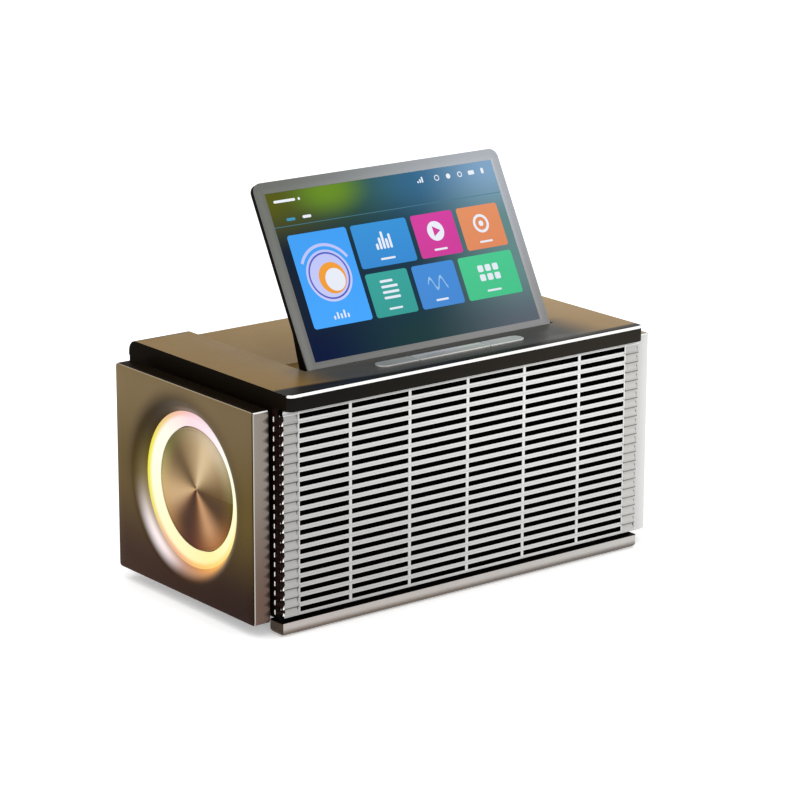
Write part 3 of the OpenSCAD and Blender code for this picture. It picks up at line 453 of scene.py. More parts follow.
def panel_with_painted_light():
    """Bronze satin panel with painted light: darker towards the bottom, painted shade round the shallow dish above the
    ring and a painted glow of the ring's light below it.
    """
    m = Mat("panel_with_painted_light")
    c = m.xyz()
    r, turn = polar(m)
    # painted shade: the face darkens towards the bottom
    u = m.ranged(c[1], -0.083, 0.098, smooth=True)
    lo = m.mix(u, lin(38, 16, 6), lin(52, 28, 10))
    mid = m.mix(u, lin(88, 70, 26), lin(88, 70, 34))
    hi = m.mix(u, lin(106, 88, 60), lin(112, 94, 62))
    base = m.mix(m.ranged(c[2], 0.020, 0.092, smooth=True), lo, mid)
    base = m.mix(m.ranged(c[2], 0.092, 0.166, smooth=True), base, hi)
    # painted shadow: a dark crescent round the dish, strongest above it and towards the back
    shade = m.ramp(turn, [(0.0, (0.25, 0.25, 0.25, 1)), (0.12, (0.1, 0.1, 0.1, 1)), (0.3, (0.0, 0.0, 0.0, 1)), (0.46, (0.15, 0.15, 0.15, 1)),
                          (0.56, (0.8, 0.8, 0.8, 1)), (0.66, (1.0, 1.0, 1.0, 1)), (0.74, (0.85, 0.85, 0.85, 1)), (0.82, (0.4, 0.4, 0.4, 1)),
                          (1.0, (0.25, 0.25, 0.25, 1))])
    s_r = m.ranged(r, 0.0650, 0.0830, 1.0, 0.0, smooth=True)
    base = m.mix(m.math("MULTIPLY", m.math("MULTIPLY", s_r, 0.98), shade), base, lin(34, 23, 7))
    cloud = m.noise(7.0, 4.0, 0.6)
    fine = m.noise(6000.0, 2.0, 0.5)
    k = m.math("MULTIPLY", m.ranged(cloud, 0.3, 0.7, 0.97, 1.03), m.ranged(fine, 0.3, 0.7, 0.985, 1.015))
    m.put("Base Color", m.scaled(base, k))
    m.put("Roughness", m.ranged(m.noise(22.0, 3.0, 0.6), 0.3, 0.7, 0.28, 0.38))
    m.put("Metallic", 0.35)
    m.put("Specular IOR Level", 0.03)
    m.bump(fine, 0.05, 0.00003)
    # painted glow: the ring's light on the slope and just beyond it, given off by the panel itself
    near = m.ranged(r, 0.0603, 0.0735, 1.0, 0.0, smooth=True)
    near = m.math("MULTIPLY", near, near)
    glow = m.ramp(turn, [(0.0, (0.16, 0.13, 0.01, 1)), (0.08, (0.34, 0.16, 0.03, 1)), (0.15, (0.95, 0.42, 0.08, 1)), (0.21, (0.75, 0.32, 0.08, 1)),
                         (0.27, (0.45, 0.22, 0.12, 1)), (0.34, (0.65, 0.50, 0.44, 1)), (0.42, (0.35, 0.30, 0.24, 1)), (0.50, (0.12, 0.10, 0.01, 1)),
                         (0.60, (0.0, 0.0, 0.0, 1)), (0.68, (0.03, 0.02, 0.01, 1)), (0.735, (0.12, 0.08, 0.07, 1)), (0.79, (0.03, 0.02, 0.02, 1)),
                         (0.86, (0.0, 0.0, 0.0, 1)), (0.94, (0.05, 0.07, 0.01, 1)), (1.0, (0.16, 0.13, 0.01, 1))])
    # painted highlight: a pale crescent just outside the ring, low towards the back
    painted_highlight_arcs = m.ramp(turn, [(0.0, (0, 0, 0, 1)), (0.27, (0, 0, 0, 1)), (0.33, (0.62, 0.60, 0.66, 1)), (0.40, (0.66, 0.62, 0.68, 1)),
                         (0.455, (0.12, 0.11, 0.12, 1)), (0.50, (0, 0, 0, 1)), (1.0, (0, 0, 0, 1))])
    arc_r = bell(m, r, 0.0605, 0.0638, 0.0700)
    m.put("Emission Color", m.add(m.scaled(glow, near), m.scaled(painted_highlight_arcs, arc_r)))
    m.put("Emission Strength", 1.0)
    return m


def slat_paint_with_painted_shade(m):
    """Light slats with painted shade: a little darker towards the left and lower down."""
    c = m.xyz()
    u = m.ranged(c[0], -0.165, 0.10, smooth=True)
    v = m.ranged(c[2], 0.02, 0.165, smooth=True)
    base = m.mix(v, m.mix(u, lin(184, 183, 182), lin(208, 208, 207)), m.mix(u, lin(208, 208, 206), lin(230, 230, 229)))
    # painted reflection: a faint grey band runs along the middle of each slat
    t = m.math("FRACT", m.math("DIVIDE", m.math("SUBTRACT", 0.16887, c[2]), 0.007398))
    return m.scaled(base, m.ranged(bell(m, t, 0.60, 0.76, 0.92), 0.0, 1.0, 1.0, 0.84))


def column_with_painted_shade(m):
    """Shingled columns with painted shade: each shingle runs from light at the top to a painted grey shadow at its
    lower lip, and the left column is darker than the right.
    """
    c = m.xyz()
    t = m.math("FRACT", m.math("DIVIDE", m.math("SUBTRACT", 0.16887, c[2]), 0.007398))
    side = m.ranged(c[0], -0.02, 0.02)
    light = m.mix(side, lin(172, 170, 168), lin(193, 192, 189))
    dark = m.mix(side, lin(56, 52, 50), lin(88, 86, 84))
    painted_lip_shade = m.ranged(t, 0.74, 0.94, smooth=True)
    return m.mix(painted_lip_shade, light, dark)


def edge_left_with_painted_reflection(m):
    """Front edge of the left panel, painted lighter towards the top, with a painted soft dark reflection of the slat
    ends down its inner border.
    """
    c = m.xyz()
    base = m.mix(m.ranged(c[2], 0.02, 0.15, smooth=True), lin(104, 84, 74), lin(140, 132, 124))
    t = m.math("FRACT", m.math("DIVIDE", m.math("SUBTRACT", 0.16887, c[2]), 0.007398))
    wave = m.math("MULTIPLY", m.ranged(t, 0.02, 0.5, smooth=True), m.ranged(t, 0.5, 0.98, 1.0, 0.0, smooth=True))
    reach = m.ranged(wave, 0.0, 1.0, 0.0008, 0.0056)
    x = m.math("SUBTRACT", m.math("ABSOLUTE", c[0]), 0.1786)
    dark = m.ranged(m.math("DIVIDE", x, reach), 0.0, 1.35, 1.0, 0.0, smooth=True)
    return m.mix(m.math("MULTIPLY", dark, 0.94), base, lin(38, 28, 23))


def edge_finish_right(m):
    c = m.xyz()
    x = m.ranged(c[0], 0.1786, 0.1920, smooth=True)
    return m.mix(x, lin(196, 196, 195), lin(214, 214, 212))


def rail_with_painted_shade(m):
    """Front of the foot rail with painted light: light along the top, painted brown shade where it turns under; lighter
    to the right.
    """
    c = m.xyz()
    u = m.ranged(c[0], -0.175, 0.175, smooth=True)
    top = m.mix(u, lin(184, 176, 171), lin(188, 185, 181))
    low = m.mix(u, lin(104, 91, 79), lin(100, 92, 84))
    return m.mix(m.ranged(c[2], 0.0022, 0.0072, smooth=True), low, top)


def bezel_with_painted_shade(m):
    """Metal frame of the screen with painted shade: darker along the bottom and left, lighter along the top and right.
    """
    c = m.xyz()
    u = m.ranged(c[0], -0.118, 0.118, smooth=True)
    v = m.ranged(c[2], 0.185, 0.310, smooth=True)
    return m.mix(v, m.mix(u, lin(112, 112, 110), lin(144, 144, 144)), m.mix(u, lin(104, 106, 100), lin(170, 175, 182)))


# colours round the plate and the ring, by turn about the axis: 0.5 is the back, 0.75 the top, 0 and 1 the front; the
# plate's two sector ramps are painted sheen
PAINTED_SECTOR_SHEEN = [(0.0, lin(84, 58, 22)), (0.05, lin(62, 38, 14)), (0.10, lin(84, 54, 24)), (0.165, lin(206, 156, 112)), (0.22, lin(112, 72, 36)),
       (0.27, lin(66, 34, 14)), (0.33, lin(56, 28, 10)), (0.38, lin(106, 68, 36)), (0.44, lin(206, 172, 128)), (0.52, lin(150, 122, 82)),
       (0.615, lin(60, 40, 12)), (0.68, lin(132, 106, 70)), (0.76, lin(166, 142, 104)), (0.81, lin(210, 186, 148)), (0.88, lin(166, 142, 104)),
       (0.95, lin(116, 90, 54)), (1.0, lin(84, 58, 22))]
PAINTED_EDGE_SHEEN = [(0.0, lin(92, 78, 10)), (0.06, lin(86, 56, 6)), (0.15, lin(176, 108, 50)), (0.25, lin(72, 22, 8)), (0.32, lin(66, 24, 8)),
       (0.40, lin(170, 122, 66)), (0.47, lin(204, 176, 120)), (0.56, lin(146, 142, 78)), (0.62, lin(90, 94, 40)), (0.69, lin(122, 106, 68)),
       (0.77, lin(180, 160, 132)), (0.86, lin(200, 186, 164)), (0.93, lin(160, 148, 104)), (1.0, lin(92, 78, 10))]
RING = [(0.0, lin(246, 240, 160)), (0.08, lin(252, 238, 150)), (0.17, lin(252, 214, 120)), (0.24, lin(253, 196, 112)), (0.30, lin(240, 176, 134)),
        (0.36, lin(238, 178, 150)), (0.42, lin(240, 222, 120)), (0.50, lin(240, 234, 60)), (0.58, lin(238, 228, 84)), (0.645, lin(236, 196, 130)),
        (0.71, lin(246, 186, 168)), (0.77, lin(244, 208, 222)), (0.86, lin(247, 236, 240)), (0.94, lin(246, 243, 204)), (1.0, lin(246, 240, 160))]
CORE = [(0.0, lin(254, 252, 214)), (0.12, lin(255, 248, 186)), (0.19, lin(253, 240, 160)), (0.27, lin(250, 244, 186)), (0.40, lin(254, 252, 206)),
        (0.52, lin(252, 252, 230)), (0.62, lin(254, 253, 236)), (0.69, lin(250, 232, 226)), (0.75, lin(246, 214, 226)), (0.83, lin(250, 236, 242)),
        (0.90, lin(252, 252, 240)), (1.0, lin(254, 252, 214))]
build_materials()


def emissive(name, top, bottom, strength=1.0, base=0.02):
    """A lit picture area: colour runs from bottom to top with a faint pixel grid."""
    m = Mat(name)
    c = m.xyz(m.tc.outputs["UV"])
    grad = m.mix(m.ranged(c[1], 0.0, 1.0), bottom, top)
    grid = m.ranged(m.noise(1400.0, 1.0), 0.3, 0.7, 0.985, 1.015)
    m.put("Base Color", (base, base, base, 1.0))
    m.put("Emission Color", m.scaled(grad, grid))
    m.put("Emission Strength", strength)
    m.put("Roughness", 0.18)
    m.put("Specular IOR Level", 0.1)
    return m


# ---------------------------------------------------------------- mesh building

class Build:
    """Collects faces in millimetres, then makes one piece of them."""

    def __init__(self):
        self.bm = bmesh.new()
        self.uv = None

    def v(self, p):
        return self.bm.verts.new((p[0] * MM, (p[1] - SY) * MM, p[2] * MM))

    def face(self, vs, mat=0):
        vs = [x for i, x in enumerate(vs) if x is not vs[i - 1]]
        if len(vs) < 3:
            return None
        try:
            f = self.bm.faces.new(vs)
        except ValueError:
            return None
        f.material_index = mat
        return f

    def loft(self, rings, closed=True, cap0=False, cap1=False, mat=0, loop=False, band=None):
        vr = [[self.v(p) for p in r] for r in rings]
        n = len(vr[0])
        pairs = list(zip(vr, vr[1:]))
        if loop:
            pairs.append((vr[-1], vr[0]))
        for q, (a, b) in enumerate(pairs):
            mi = band[q] if band else mat
            for i in range(n if closed else n - 1):
                j = (i + 1) % n
                self.face([a[i], a[j], b[j], b[i]], mi)
        if cap0:
            self.face(list(reversed(vr[0])), band[0] if band else mat)
        if cap1:
            self.face(vr[-1], band[-1] if band else mat)
        return vr

    def done(self, name, mats, body="cabinet", replaces=(), smooth=32.0, weld=2e-7, uvbox=None):
        bm = self.bm
        if weld:
            bmesh.ops.remove_doubles(bm, verts=bm.verts, dist=weld)
        bmesh.ops.dissolve_degenerate(bm, dist=1e-8, edges=bm.edges)
        bmesh.ops.recalc_face_normals(bm, faces=bm.faces)
        if uvbox:
            layer = bm.loops.layers.uv.new("UVMap")
            for f in bm.faces:
                for lp in f.loops:
                    lp[layer].uv = uvbox(lp.vert.co)
        me = bpy.data.meshes.new(name)
        bm.to_mesh(me)
        bm.free()
        for m in mats:
            me.materials.append(m.m)
        me.polygons.foreach_set("use_smooth", [True] * len(me.polygons))
        me.set_sharp_from_angle(angle=math.radians(smooth))
        ob = bpy.data.objects.new(name, me)
        bpy.context.scene.collection.objects.link(ob)
        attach(ob, body)
        if replaces:
            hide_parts(*replaces)
        return ob


def arc(cx, cy, r, a0, a1, n):
    return [(cx + r * math.cos(math.radians(a0 + (a1 - a0) * i / n)),
             cy + r * math.sin(math.radians(a0 + (a1 - a0) * i / n))) for i in range(n + 1)]


def rrect(hw, hh, r, seg=6, cx=0.0, cy=0.0):
    """Rounded rectangle, anticlockwise; r is one radius or four (right-top, left-top, left-bottom, right-bottom)."""
    rs = (r,) * 4 if isinstance(r, (int, float)) else r
    pts = []
    for (sx, sy, a0), rr in zip(((1, 1, 0), (-1, 1, 90), (-1, -1, 180), (1, -1, 270)), rs):
        rr = max(rr, 0.02)
        pts += arc(cx + sx * (hw - rr), cy + sy * (hh - rr), rr, a0, a0 + 90, seg)
    return pts


def slab(b, outline, h0, h1, e0, e1, place, seg=4, mat=0, top_mat=None):
    """Closed slab: outline(d) is its outline drawn in by d; e0 and e1 are the edge radii at h0 and h1."""
    prof = []
    for i in range(seg + 1):
        t = math.radians(90.0 * i / seg)
        prof.append((e0 * (1 - math.sin(t)), h0 + e0 * (1 - math.cos(t))))
    for i in range(seg + 1):
        t = math.radians(90.0 * i / seg)
        prof.append((e1 * (1 - math.cos(t)), h1 - e1 * (1 - math.sin(t))))
    rr = [[place(u, v, h) for u, v in outline(d)] for d, h in prof]
    band = [mat] * (len(rr) - 1)
    if top_mat is not None:
        for i in range(seg + 1, len(rr) - 1):
            band[i] = top_mat
    return b.loft(rr, closed=True, cap0=True, cap1=True, band=band)


def xy(u, v, h):
    return (u, v, h)


def prism_x(b, prof, x0, x1, mat=0, dark_from=None, dark=1):
    """Closed profile of (y, z) run along X; sides whose middle lies behind dark_from take the dark material."""
    va = [b.v((x0, y, z)) for y, z in prof]
    vc = [b.v((x1, y, z)) for y, z in prof]
    n = len(prof)
    for i in range(n):
        j = (i + 1) % n
        deep = dark_from is not None and (prof[i][0] + prof[j][0]) / 2 > dark_from
        b.face([va[i], va[j], vc[j], vc[i]], dark if deep else mat)
    end = mat if dark_from is None else dark
    b.face(list(reversed(va)), end)
    b.face(vc, end)


def turn_about_x(b, prof, side, cy=7.5, cz=91.2, n=160, mat=0, band=None, loop=True):
    """Lathe about the ring's axis; the profile is (radius, distance from the middle of the box)."""
    rings = [[(side * x, cy + r * math.cos(2 * math.pi * i / n), cz + r * math.sin(2 * math.pi * i / n)) for i in range(n)]
             for r, x in prof]
    b.loft(rings, closed=True, mat=mat, band=band, loop=loop)


def copy_node(node, name, mats, bevel=0.0, seg=2, angle=35.0, pick=None, body=None, pick_mat=None, smooth=32.0):
    """A piece with a node's own shape, its faces joined up and its outer edges broken."""
    src = NODES[node]
    bm = bmesh.new()
    bm.from_mesh(src.data)
    bmesh.ops.remove_doubles(bm, verts=bm.verts, dist=3e-6)
    bmesh.ops.dissolve_degenerate(bm, dist=1e-7, edges=bm.edges)
    bmesh.ops.dissolve_limit(bm, angle_limit=math.radians(0.5), verts=bm.verts, edges=bm.edges)
    if bevel:
        sharp = []
        for e in bm.edges:
            if len(e.link_faces) != 2:
                continue
            if math.degrees(e.calc_face_angle(0.0)) < angle or not e.is_convex:
                continue
            mid = (e.verts[0].co + e.verts[1].co) / 2 / MM + Vector((0, SY, 0))
            if pick is None or pick(mid, e):
                sharp.append(e)
        if sharp:
            bmesh.ops.bevel(bm, geom=sharp, offset=bevel * MM, offset_type="OFFSET", segments=seg, profile=0.6,
                            affect="EDGES", clamp_overlap=True)
    for f in bm.faces:
        f.material_index = pick_mat(f) if pick_mat else 0
    me = bpy.data.meshes.new(name)
    bm.to_mesh(me)
    bm.free()
    for m in mats:
        me.materials.append(m.m)
    me.polygons.foreach_set("use_smooth", [True] * len(me.polygons))
    me.set_sharp_from_angle(angle=math.radians(smooth))
    ob = bpy.data.objects.new(name, me)
    bpy.context.scene.collection.objects.link(ob)
    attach(ob, body or src["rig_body"])
    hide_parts(node)
    return ob


# ---------------------------------------------------------------- sizes, in millimetres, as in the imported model

TOP = 185.4
AY, AZ = 7.5, 91.2
PITCH, GAP, OPEN_TOP, N_OPEN = 7.398, 3.9, 168.87, 21
FRONT = -93.0


# ---------------------------------------------------------------- top cover and front strip

def cover_mat(f):
    c = f.calc_center_median() / MM + Vector((0, SY, 0))
    n = f.normal
    # painted highlight on the rounding along the top's side edges
    if c.z > 180.0 and abs(c.x) > 171.55 and n.z > 0.35 and n.z < 0.999:
        return 2
    if abs(n.z) < 0.5 and (abs(c.x) > 171.0 or c.y > 100.0):
        return 1
    if -0.5 < n.z < 0.9995 and c.y > 101.05:
        return 1
    if c.z < 174.0 and n.z < -0.5:
        return 1
    return 0


def top_cover():
    def outer(mid, e):
        if abs(mid.y + 95.6) < 0.2:
            return False
        return (mid.z > 185.2 and mid.y < 102.0) or (abs(mid.x) > 171.9 and mid.z > 176.0 and mid.y > 100.9)
    copy_node("top_cover", "top_cover_shell", [MATS["cover"], MATS["cover_side"], MATS["cover_line"]], bevel=0.5, seg=3, pick=outer,
              pick_mat=cover_mat)


def fascia():
    b = Build()
    r, cx, cy = 5.0, 167.2, -94.5
    path = []
    n_arc = 14
    a_end = math.degrees(math.asin(1.1 / 5.0))
    for i in range(n_arc + 1):
        a = 180 + a_end + (90 - a_end) * i / n_arc
        path.append((-cx + r * math.cos(math.radians(a)), cy + r * math.sin(math.radians(a)), math.cos(math.radians(a)), math.sin(math.radians(a))))
    marks = [-166.9, -166.6, -166.3, -166.0, -165.7] + [-165.0 + 330.0 * i / 36 for i in range(37)] + [166.6]
    for x in marks:
        path.append((x, -99.5, 0.0, -1.0))
    for i in range(n_arc + 1):
        a = 270 + (90 - a_end) * i / n_arc
        path.append((cx + r * math.cos(math.radians(a)), cy + r * math.sin(math.radians(a)), math.cos(math.radians(a)), math.sin(math.radians(a))))
    rings, lit = [], []
    for x, y, nx, ny in path:
        # the painted highlight line starts bluntly on the left corner and fades out round the right one
        k = max(0.0, min(1.0, (x + 172.3) / 0.5))
        k2 = max(0.0, min(1.0, (171.8 - x) / 2.5))
        c = 0.5 + 1.15 * k * k2
        lit.append(k * k2 > 0.3)
        e = 0.35 + (0.9 if x > 168 else 0.0)
        yb = -95.6
        ins = lambda d: (x - nx * d, min(y - ny * d, yb - 0.02))
        px0, py0 = ins(e)
        px1, py1 = ins(c)
        rings.append([(x, yb, 173.0), (px0, py0, 173.0), (x - nx * 0.1, y - ny * 0.1, 173.1), (x, y, 173.0 + e),
                      (x, y, TOP - c - 0.12), (x - nx * 0.05, y - ny * 0.05, TOP - c), (px1, py1, TOP - 0.05), (px1 - nx * 0.1, min(py1 - ny * 0.12, yb - 0.01), TOP),
                      (px1 - nx * 0.2, yb, TOP)])
    vr = [[b.v(p) for p in ring] for ring in rings]
    n = len(vr[0])
    for q, (a, c) in enumerate(zip(vr, vr[1:])):
        on = lit[q] and lit[q + 1]
        for i in range(n):
            j = (i + 1) % n
            b.face([a[i], a[j], c[j], c[i]], 1 if on and i in (4, 5) else 0)
    b.face(list(reversed(vr[0])), 0)
    b.face(vr[-1], 0)
    for x in (-120, -40, 40, 120):
        ring = [[(x + 1.5 * math.cos(t * math.pi / 8), y, TOP - 6.4 + 1.5 * math.sin(t * math.pi / 8)) for t in range(16)]
                for y in (-95.7, -91.6, -91.3)]
        ring[2] = [(x + 1.2 * math.cos(t * math.pi / 8), -91.3, TOP - 6.4 + 1.2 * math.sin(t * math.pi / 8)) for t in range(16)]
        b.loft(ring, cap0=True, cap1=True)
    b.done("front_strip", [MATS["fascia"], MATS["chamfer"]], replaces=["fascia_strip"])


# ---------------------------------------------------------------- grille

def slat_profile(zb, zt):
    f = min(1.0, (zt - zb) / 3.4)
    return [(-87.4, zb), (-92.5, zb), (-92.85, zb + 0.12 * f), (-93.0, zb + 0.42 * f), (-93.0, zb + 0.72 * f), (-92.72, zb + f),
            (-92.5, zb + 1.5 * f), (-92.42, zb + 2.1 * f), (-92.5, zt - 1.05 * f), (-92.72, zt - 0.8 * f), (-92.84, zt - 0.5 * f), (-92.74, zt - 0.2 * f),
            (-92.4, zt), (-87.4, zt)]


def bar_z(b, x0, x1, y0, y1, z0, z1, r=0.45, mat=0, dark=1):
    pts = [(x0, y1), (x0, y0 + r), (x0 + 0.3 * r, y0 + 0.3 * r), (x0 + r, y0), (x1 - r, y0), (x1 - 0.3 * r, y0 + 0.3 * r), (x1, y0 + r), (x1, y1)]
    va = [b.v((x, y, z0)) for x, y in pts]
    vc = [b.v((x, y, z1)) for x, y in pts]
    for i in range(8):
        b.face([va[i], va[(i + 1) % 8], vc[(i + 1) % 8], vc[i]], dark if i in (0, 6, 7) else mat)
    b.face(list(reversed(va)), mat)
    b.face(vc, mat)


def grille():
    b = Build()
    # slat faces behind the front skin take the matt black: painted shade that keeps the openings dark
    for k in range(N_OPEN - 1):
        zt = OPEN_TOP - k * PITCH - GAP
        zb = OPEN_TOP - (k + 1) * PITCH
        prism_x(b, slat_profile(zb, zt), -159.0, 159.0, dark_from=-92.3)
    zl = OPEN_TOP - (N_OPEN - 1) * PITCH - GAP
    prism_x(b, slat_profile(14.7, zl), -173.2, 173.2, dark_from=-92.3)
    prism_x(b, slat_profile(OPEN_TOP, 172.8), -173.2, 173.2, dark_from=-92.3)
    for k in range(-2, 3):
        bar_z(b, k * 55.8 - 1.35, k * 55.8 + 1.35, -92.7, -87.4, 15.6, 172.0)
    for s in (-1, 1):
        x0, x1 = sorted((s * 158.4, s * 159.5))
        bar_z(b, x0, x1, -92.95, -87.4, 15.4, 172.2, r=0.3)
        x0, x1 = sorted((s * 159.4, s * 160.5))
        bar_z(b, x0, x1, -92.6, -87.4, 15.4, 172.2, r=0.3, mat=2)
    b.done("grille_louvres", [MATS["grille"], MATS["void"], MATS["column"]], replaces=["grille"], smooth=40.0)
    # closed, shingled columns at both ends; each shingle ends in a point over a glossy flank painted dark as shade
    b = Build()
    for s in (-1, 1):
        prof = [(-87.4, 15.7), (-87.4, 171.8), (-91.6, 171.8)]
        for k in range(N_OPEN):
            zu = OPEN_TOP - k * PITCH
            zd = OPEN_TOP - (k + 1) * PITCH
            if k == N_OPEN - 1:
                zd = 16.0
            h = (zu - zd) / PITCH
            prof += [(-91.5, zu - 0.25), (-91.9, zu - 2.0 * h), (-92.25, zu - 3.4 * h), (-92.5, zd + 2.35 * h), (-92.85, zd + 2.0 * h), (-93.0, zd + 1.6 * h),
                     (-93.0, zd + 0.55 * h), (-92.8, zd + 0.3 * h), (-91.9, zd + 0.15), (-91.5, zd + 0.05)]
        prof += [(-91.4, 15.7)]
        x0, x1 = sorted((s * 160.2, s * (171.6 if s < 0 else 172.6)))
        prism_x(b, prof, x0, x1)
        for k in range(N_OPEN):
            zu = OPEN_TOP - k * PITCH
            zd = OPEN_TOP - (k + 1) * PITCH if k < N_OPEN - 1 else 16.0
            # the shingle's end: a leaf that narrows to a tip at its lower corner, painted bright as a highlight
            xe = 171.5 if s < 0 else 172.5
            rows = ((0.0, zu - 0.4, zd + 0.5, -91.55, -92.95), (1.0, zu - 2.6, zd + 0.45, -91.7, -92.95), (1.5, zd + 2.9, zd + 0.5, -92.0, -92.95),
                    (2.7, zd + 1.1, zd + 0.6, -92.4, -92.85))
            rings = []
            for dx, za, zb_, ya, yb in rows:
                rings.append([(s * (xe + dx * (1.0 if s < 0 else 0.56)), ya, za), (s * (xe + dx * (1.0 if s < 0 else 0.56)), yb, zb_ + 0.55 * (za - zb_) * 0.5),
                              (s * (xe + dx * (1.0 if s < 0 else 0.56)), yb, zb_), (s * (xe + dx * (1.0 if s < 0 else 0.56)), ya + 0.2, zb_ - 0.05)])
            b.loft(rings, cap0=True, cap1=True, band=[0, 0, 1])
    b.done("grille_end_columns", [MATS["column"], MATS["nib"]], smooth=24.0)
    # scalloped flank behind each shingle's end, painted dark as the shade on the grille's side
    for s, nm in ((-1, "left"), (1, "right")):
        b = Build()
        for k in range(N_OPEN):
            zu = OPEN_TOP - k * PITCH
            zd = OPEN_TOP - (k + 1) * PITCH if k < N_OPEN - 1 else 16.0
            zc = (zu + zd) / 2 - 0.3
            for yc, w, hh in ((-90.6, 1.75, 3.3), (-88.0, 1.5, 3.1)):
                rings = []
                for q in (0.0, 0.35, 0.7, 0.9, 1.0):
                    f = math.sqrt(max(0.0, 1 - q * q)) if q < 1 else 0.05
                    rings.append([(s * (171.9 + 1.9 * q), yc + w * f * math.cos(2 * math.pi * t / 14), zc + hh * f * math.sin(2 * math.pi * t / 14)) for t in range(14)])
                b.loft(rings, cap0=True, cap1=True)
        bar_z(b, *sorted((s * 171.5, s * 172.2)), -91.2, -86.4, 15.9, 171.6, r=0.1, mat=0, dark=0)
        b.done("column_flank_" + nm, [MATS["column_side"]])
    # dark ribs down both sides of the grille, with a nib at each end painted bright as a highlight
    for s, nm in ((-1, "left"), (1, "right")):
        b = Build()
        x0, x1 = sorted((s * 172.05, s * 172.9))
        b.loft([[(x0, -86.1, z), (x1, -86.1, z), (x1, -79.0, z), (x0, -79.0, z)] for z in (16.0, 171.5)], cap0=True, cap1=True)
        for k in range(N_OPEN):
            zc = OPEN_TOP - k * PITCH - 3.9 + 0.2
            rings = []
            for y, w in ((-86.6, 0.2), (-86.2, 0.9), (-84.5, 1.3), (-82.0, 1.3), (-79.6, 0.9), (-79.1, 0.2)):
                rings.append([(s * (172.7 + 1.1 * w * math.sin(math.pi * t / 8)), y, zc - 1.5 * w * math.cos(math.pi * t / 8)) for t in range(9)])
            b.loft(rings, closed=True, cap0=True, cap1=True)
        b.done("side_ribs_" + nm, [MATS["comb"]])
        b = Build()
        for k in range(N_OPEN):
            zc = OPEN_TOP - k * PITCH - 3.9 + 0.2
            rings = []
            for h, q in ((-2.05, 0.15), (-1.75, 0.75), (-1.0, 1.0), (1.0, 1.0), (1.75, 0.75), (2.05, 0.15)):
                rings.append([(s * (174.25 + 0.5 * q * math.cos(t * math.pi / 5)), -82.7 + 0.5 * q * math.sin(t * math.pi / 5), zc + h) for t in range(10)])
            b.loft(rings, cap0=True, cap1=True)
            rings = []
            for h, q in ((-0.9, 0.2), (-0.6, 0.85), (0.0, 1.0), (0.6, 0.85), (0.9, 0.2)):
                rings.append([(s * (173.1 + 0.4 * q * math.cos(t * math.pi / 5)), -88.8 + 0.5 * q * math.sin(t * math.pi / 5), zc + 3.4 + 0.8 * h) for t in range(10)])
            b.loft(rings, cap0=True, cap1=True, mat=1)
        b.done("side_nibs_" + nm, [MATS["nib"], MATS["panel_corner"]])


# ---------------------------------------------------------------- side panels, rings and plates

def panel_border(inset_k, x, n_edge=36, n_corner=8):
    """Points round the panel's face with their outward directions."""
    cy, cz, hy, hz, r = 7.55, 91.2, 90.45, 81.8, 3.0
    pts = []
    corners_ = ((1, 1, 0), (-1, 1, 90), (-1, -1, 180), (1, -1, 270))
    for q, (sy, sz, a0) in enumerate(corners_):
        for i in range(n_corner + 1):
            a = math.radians(a0 + 90.0 * i / n_corner)
            pts.append((cy + sy * (hy - r) + r * math.cos(a), cz + sz * (hz - r) + r * math.sin(a), math.cos(a), math.sin(a)))
        ny, nz, _ = corners_[(q + 1) % 4]
        a = math.radians(a0 + 90.0)
        p0 = pts[-1]
        p1 = (cy + ny * (hy - r) + r * math.cos(a), cz + nz * (hz - r) + r * math.sin(a))
        for i in range(1, n_edge):
            f = i / n_edge
            pts.append((p0[0] + (p1[0] - p0[0]) * f, p0[1] + (p1[1] - p0[1]) * f, math.cos(a), math.sin(a)))
    return pts


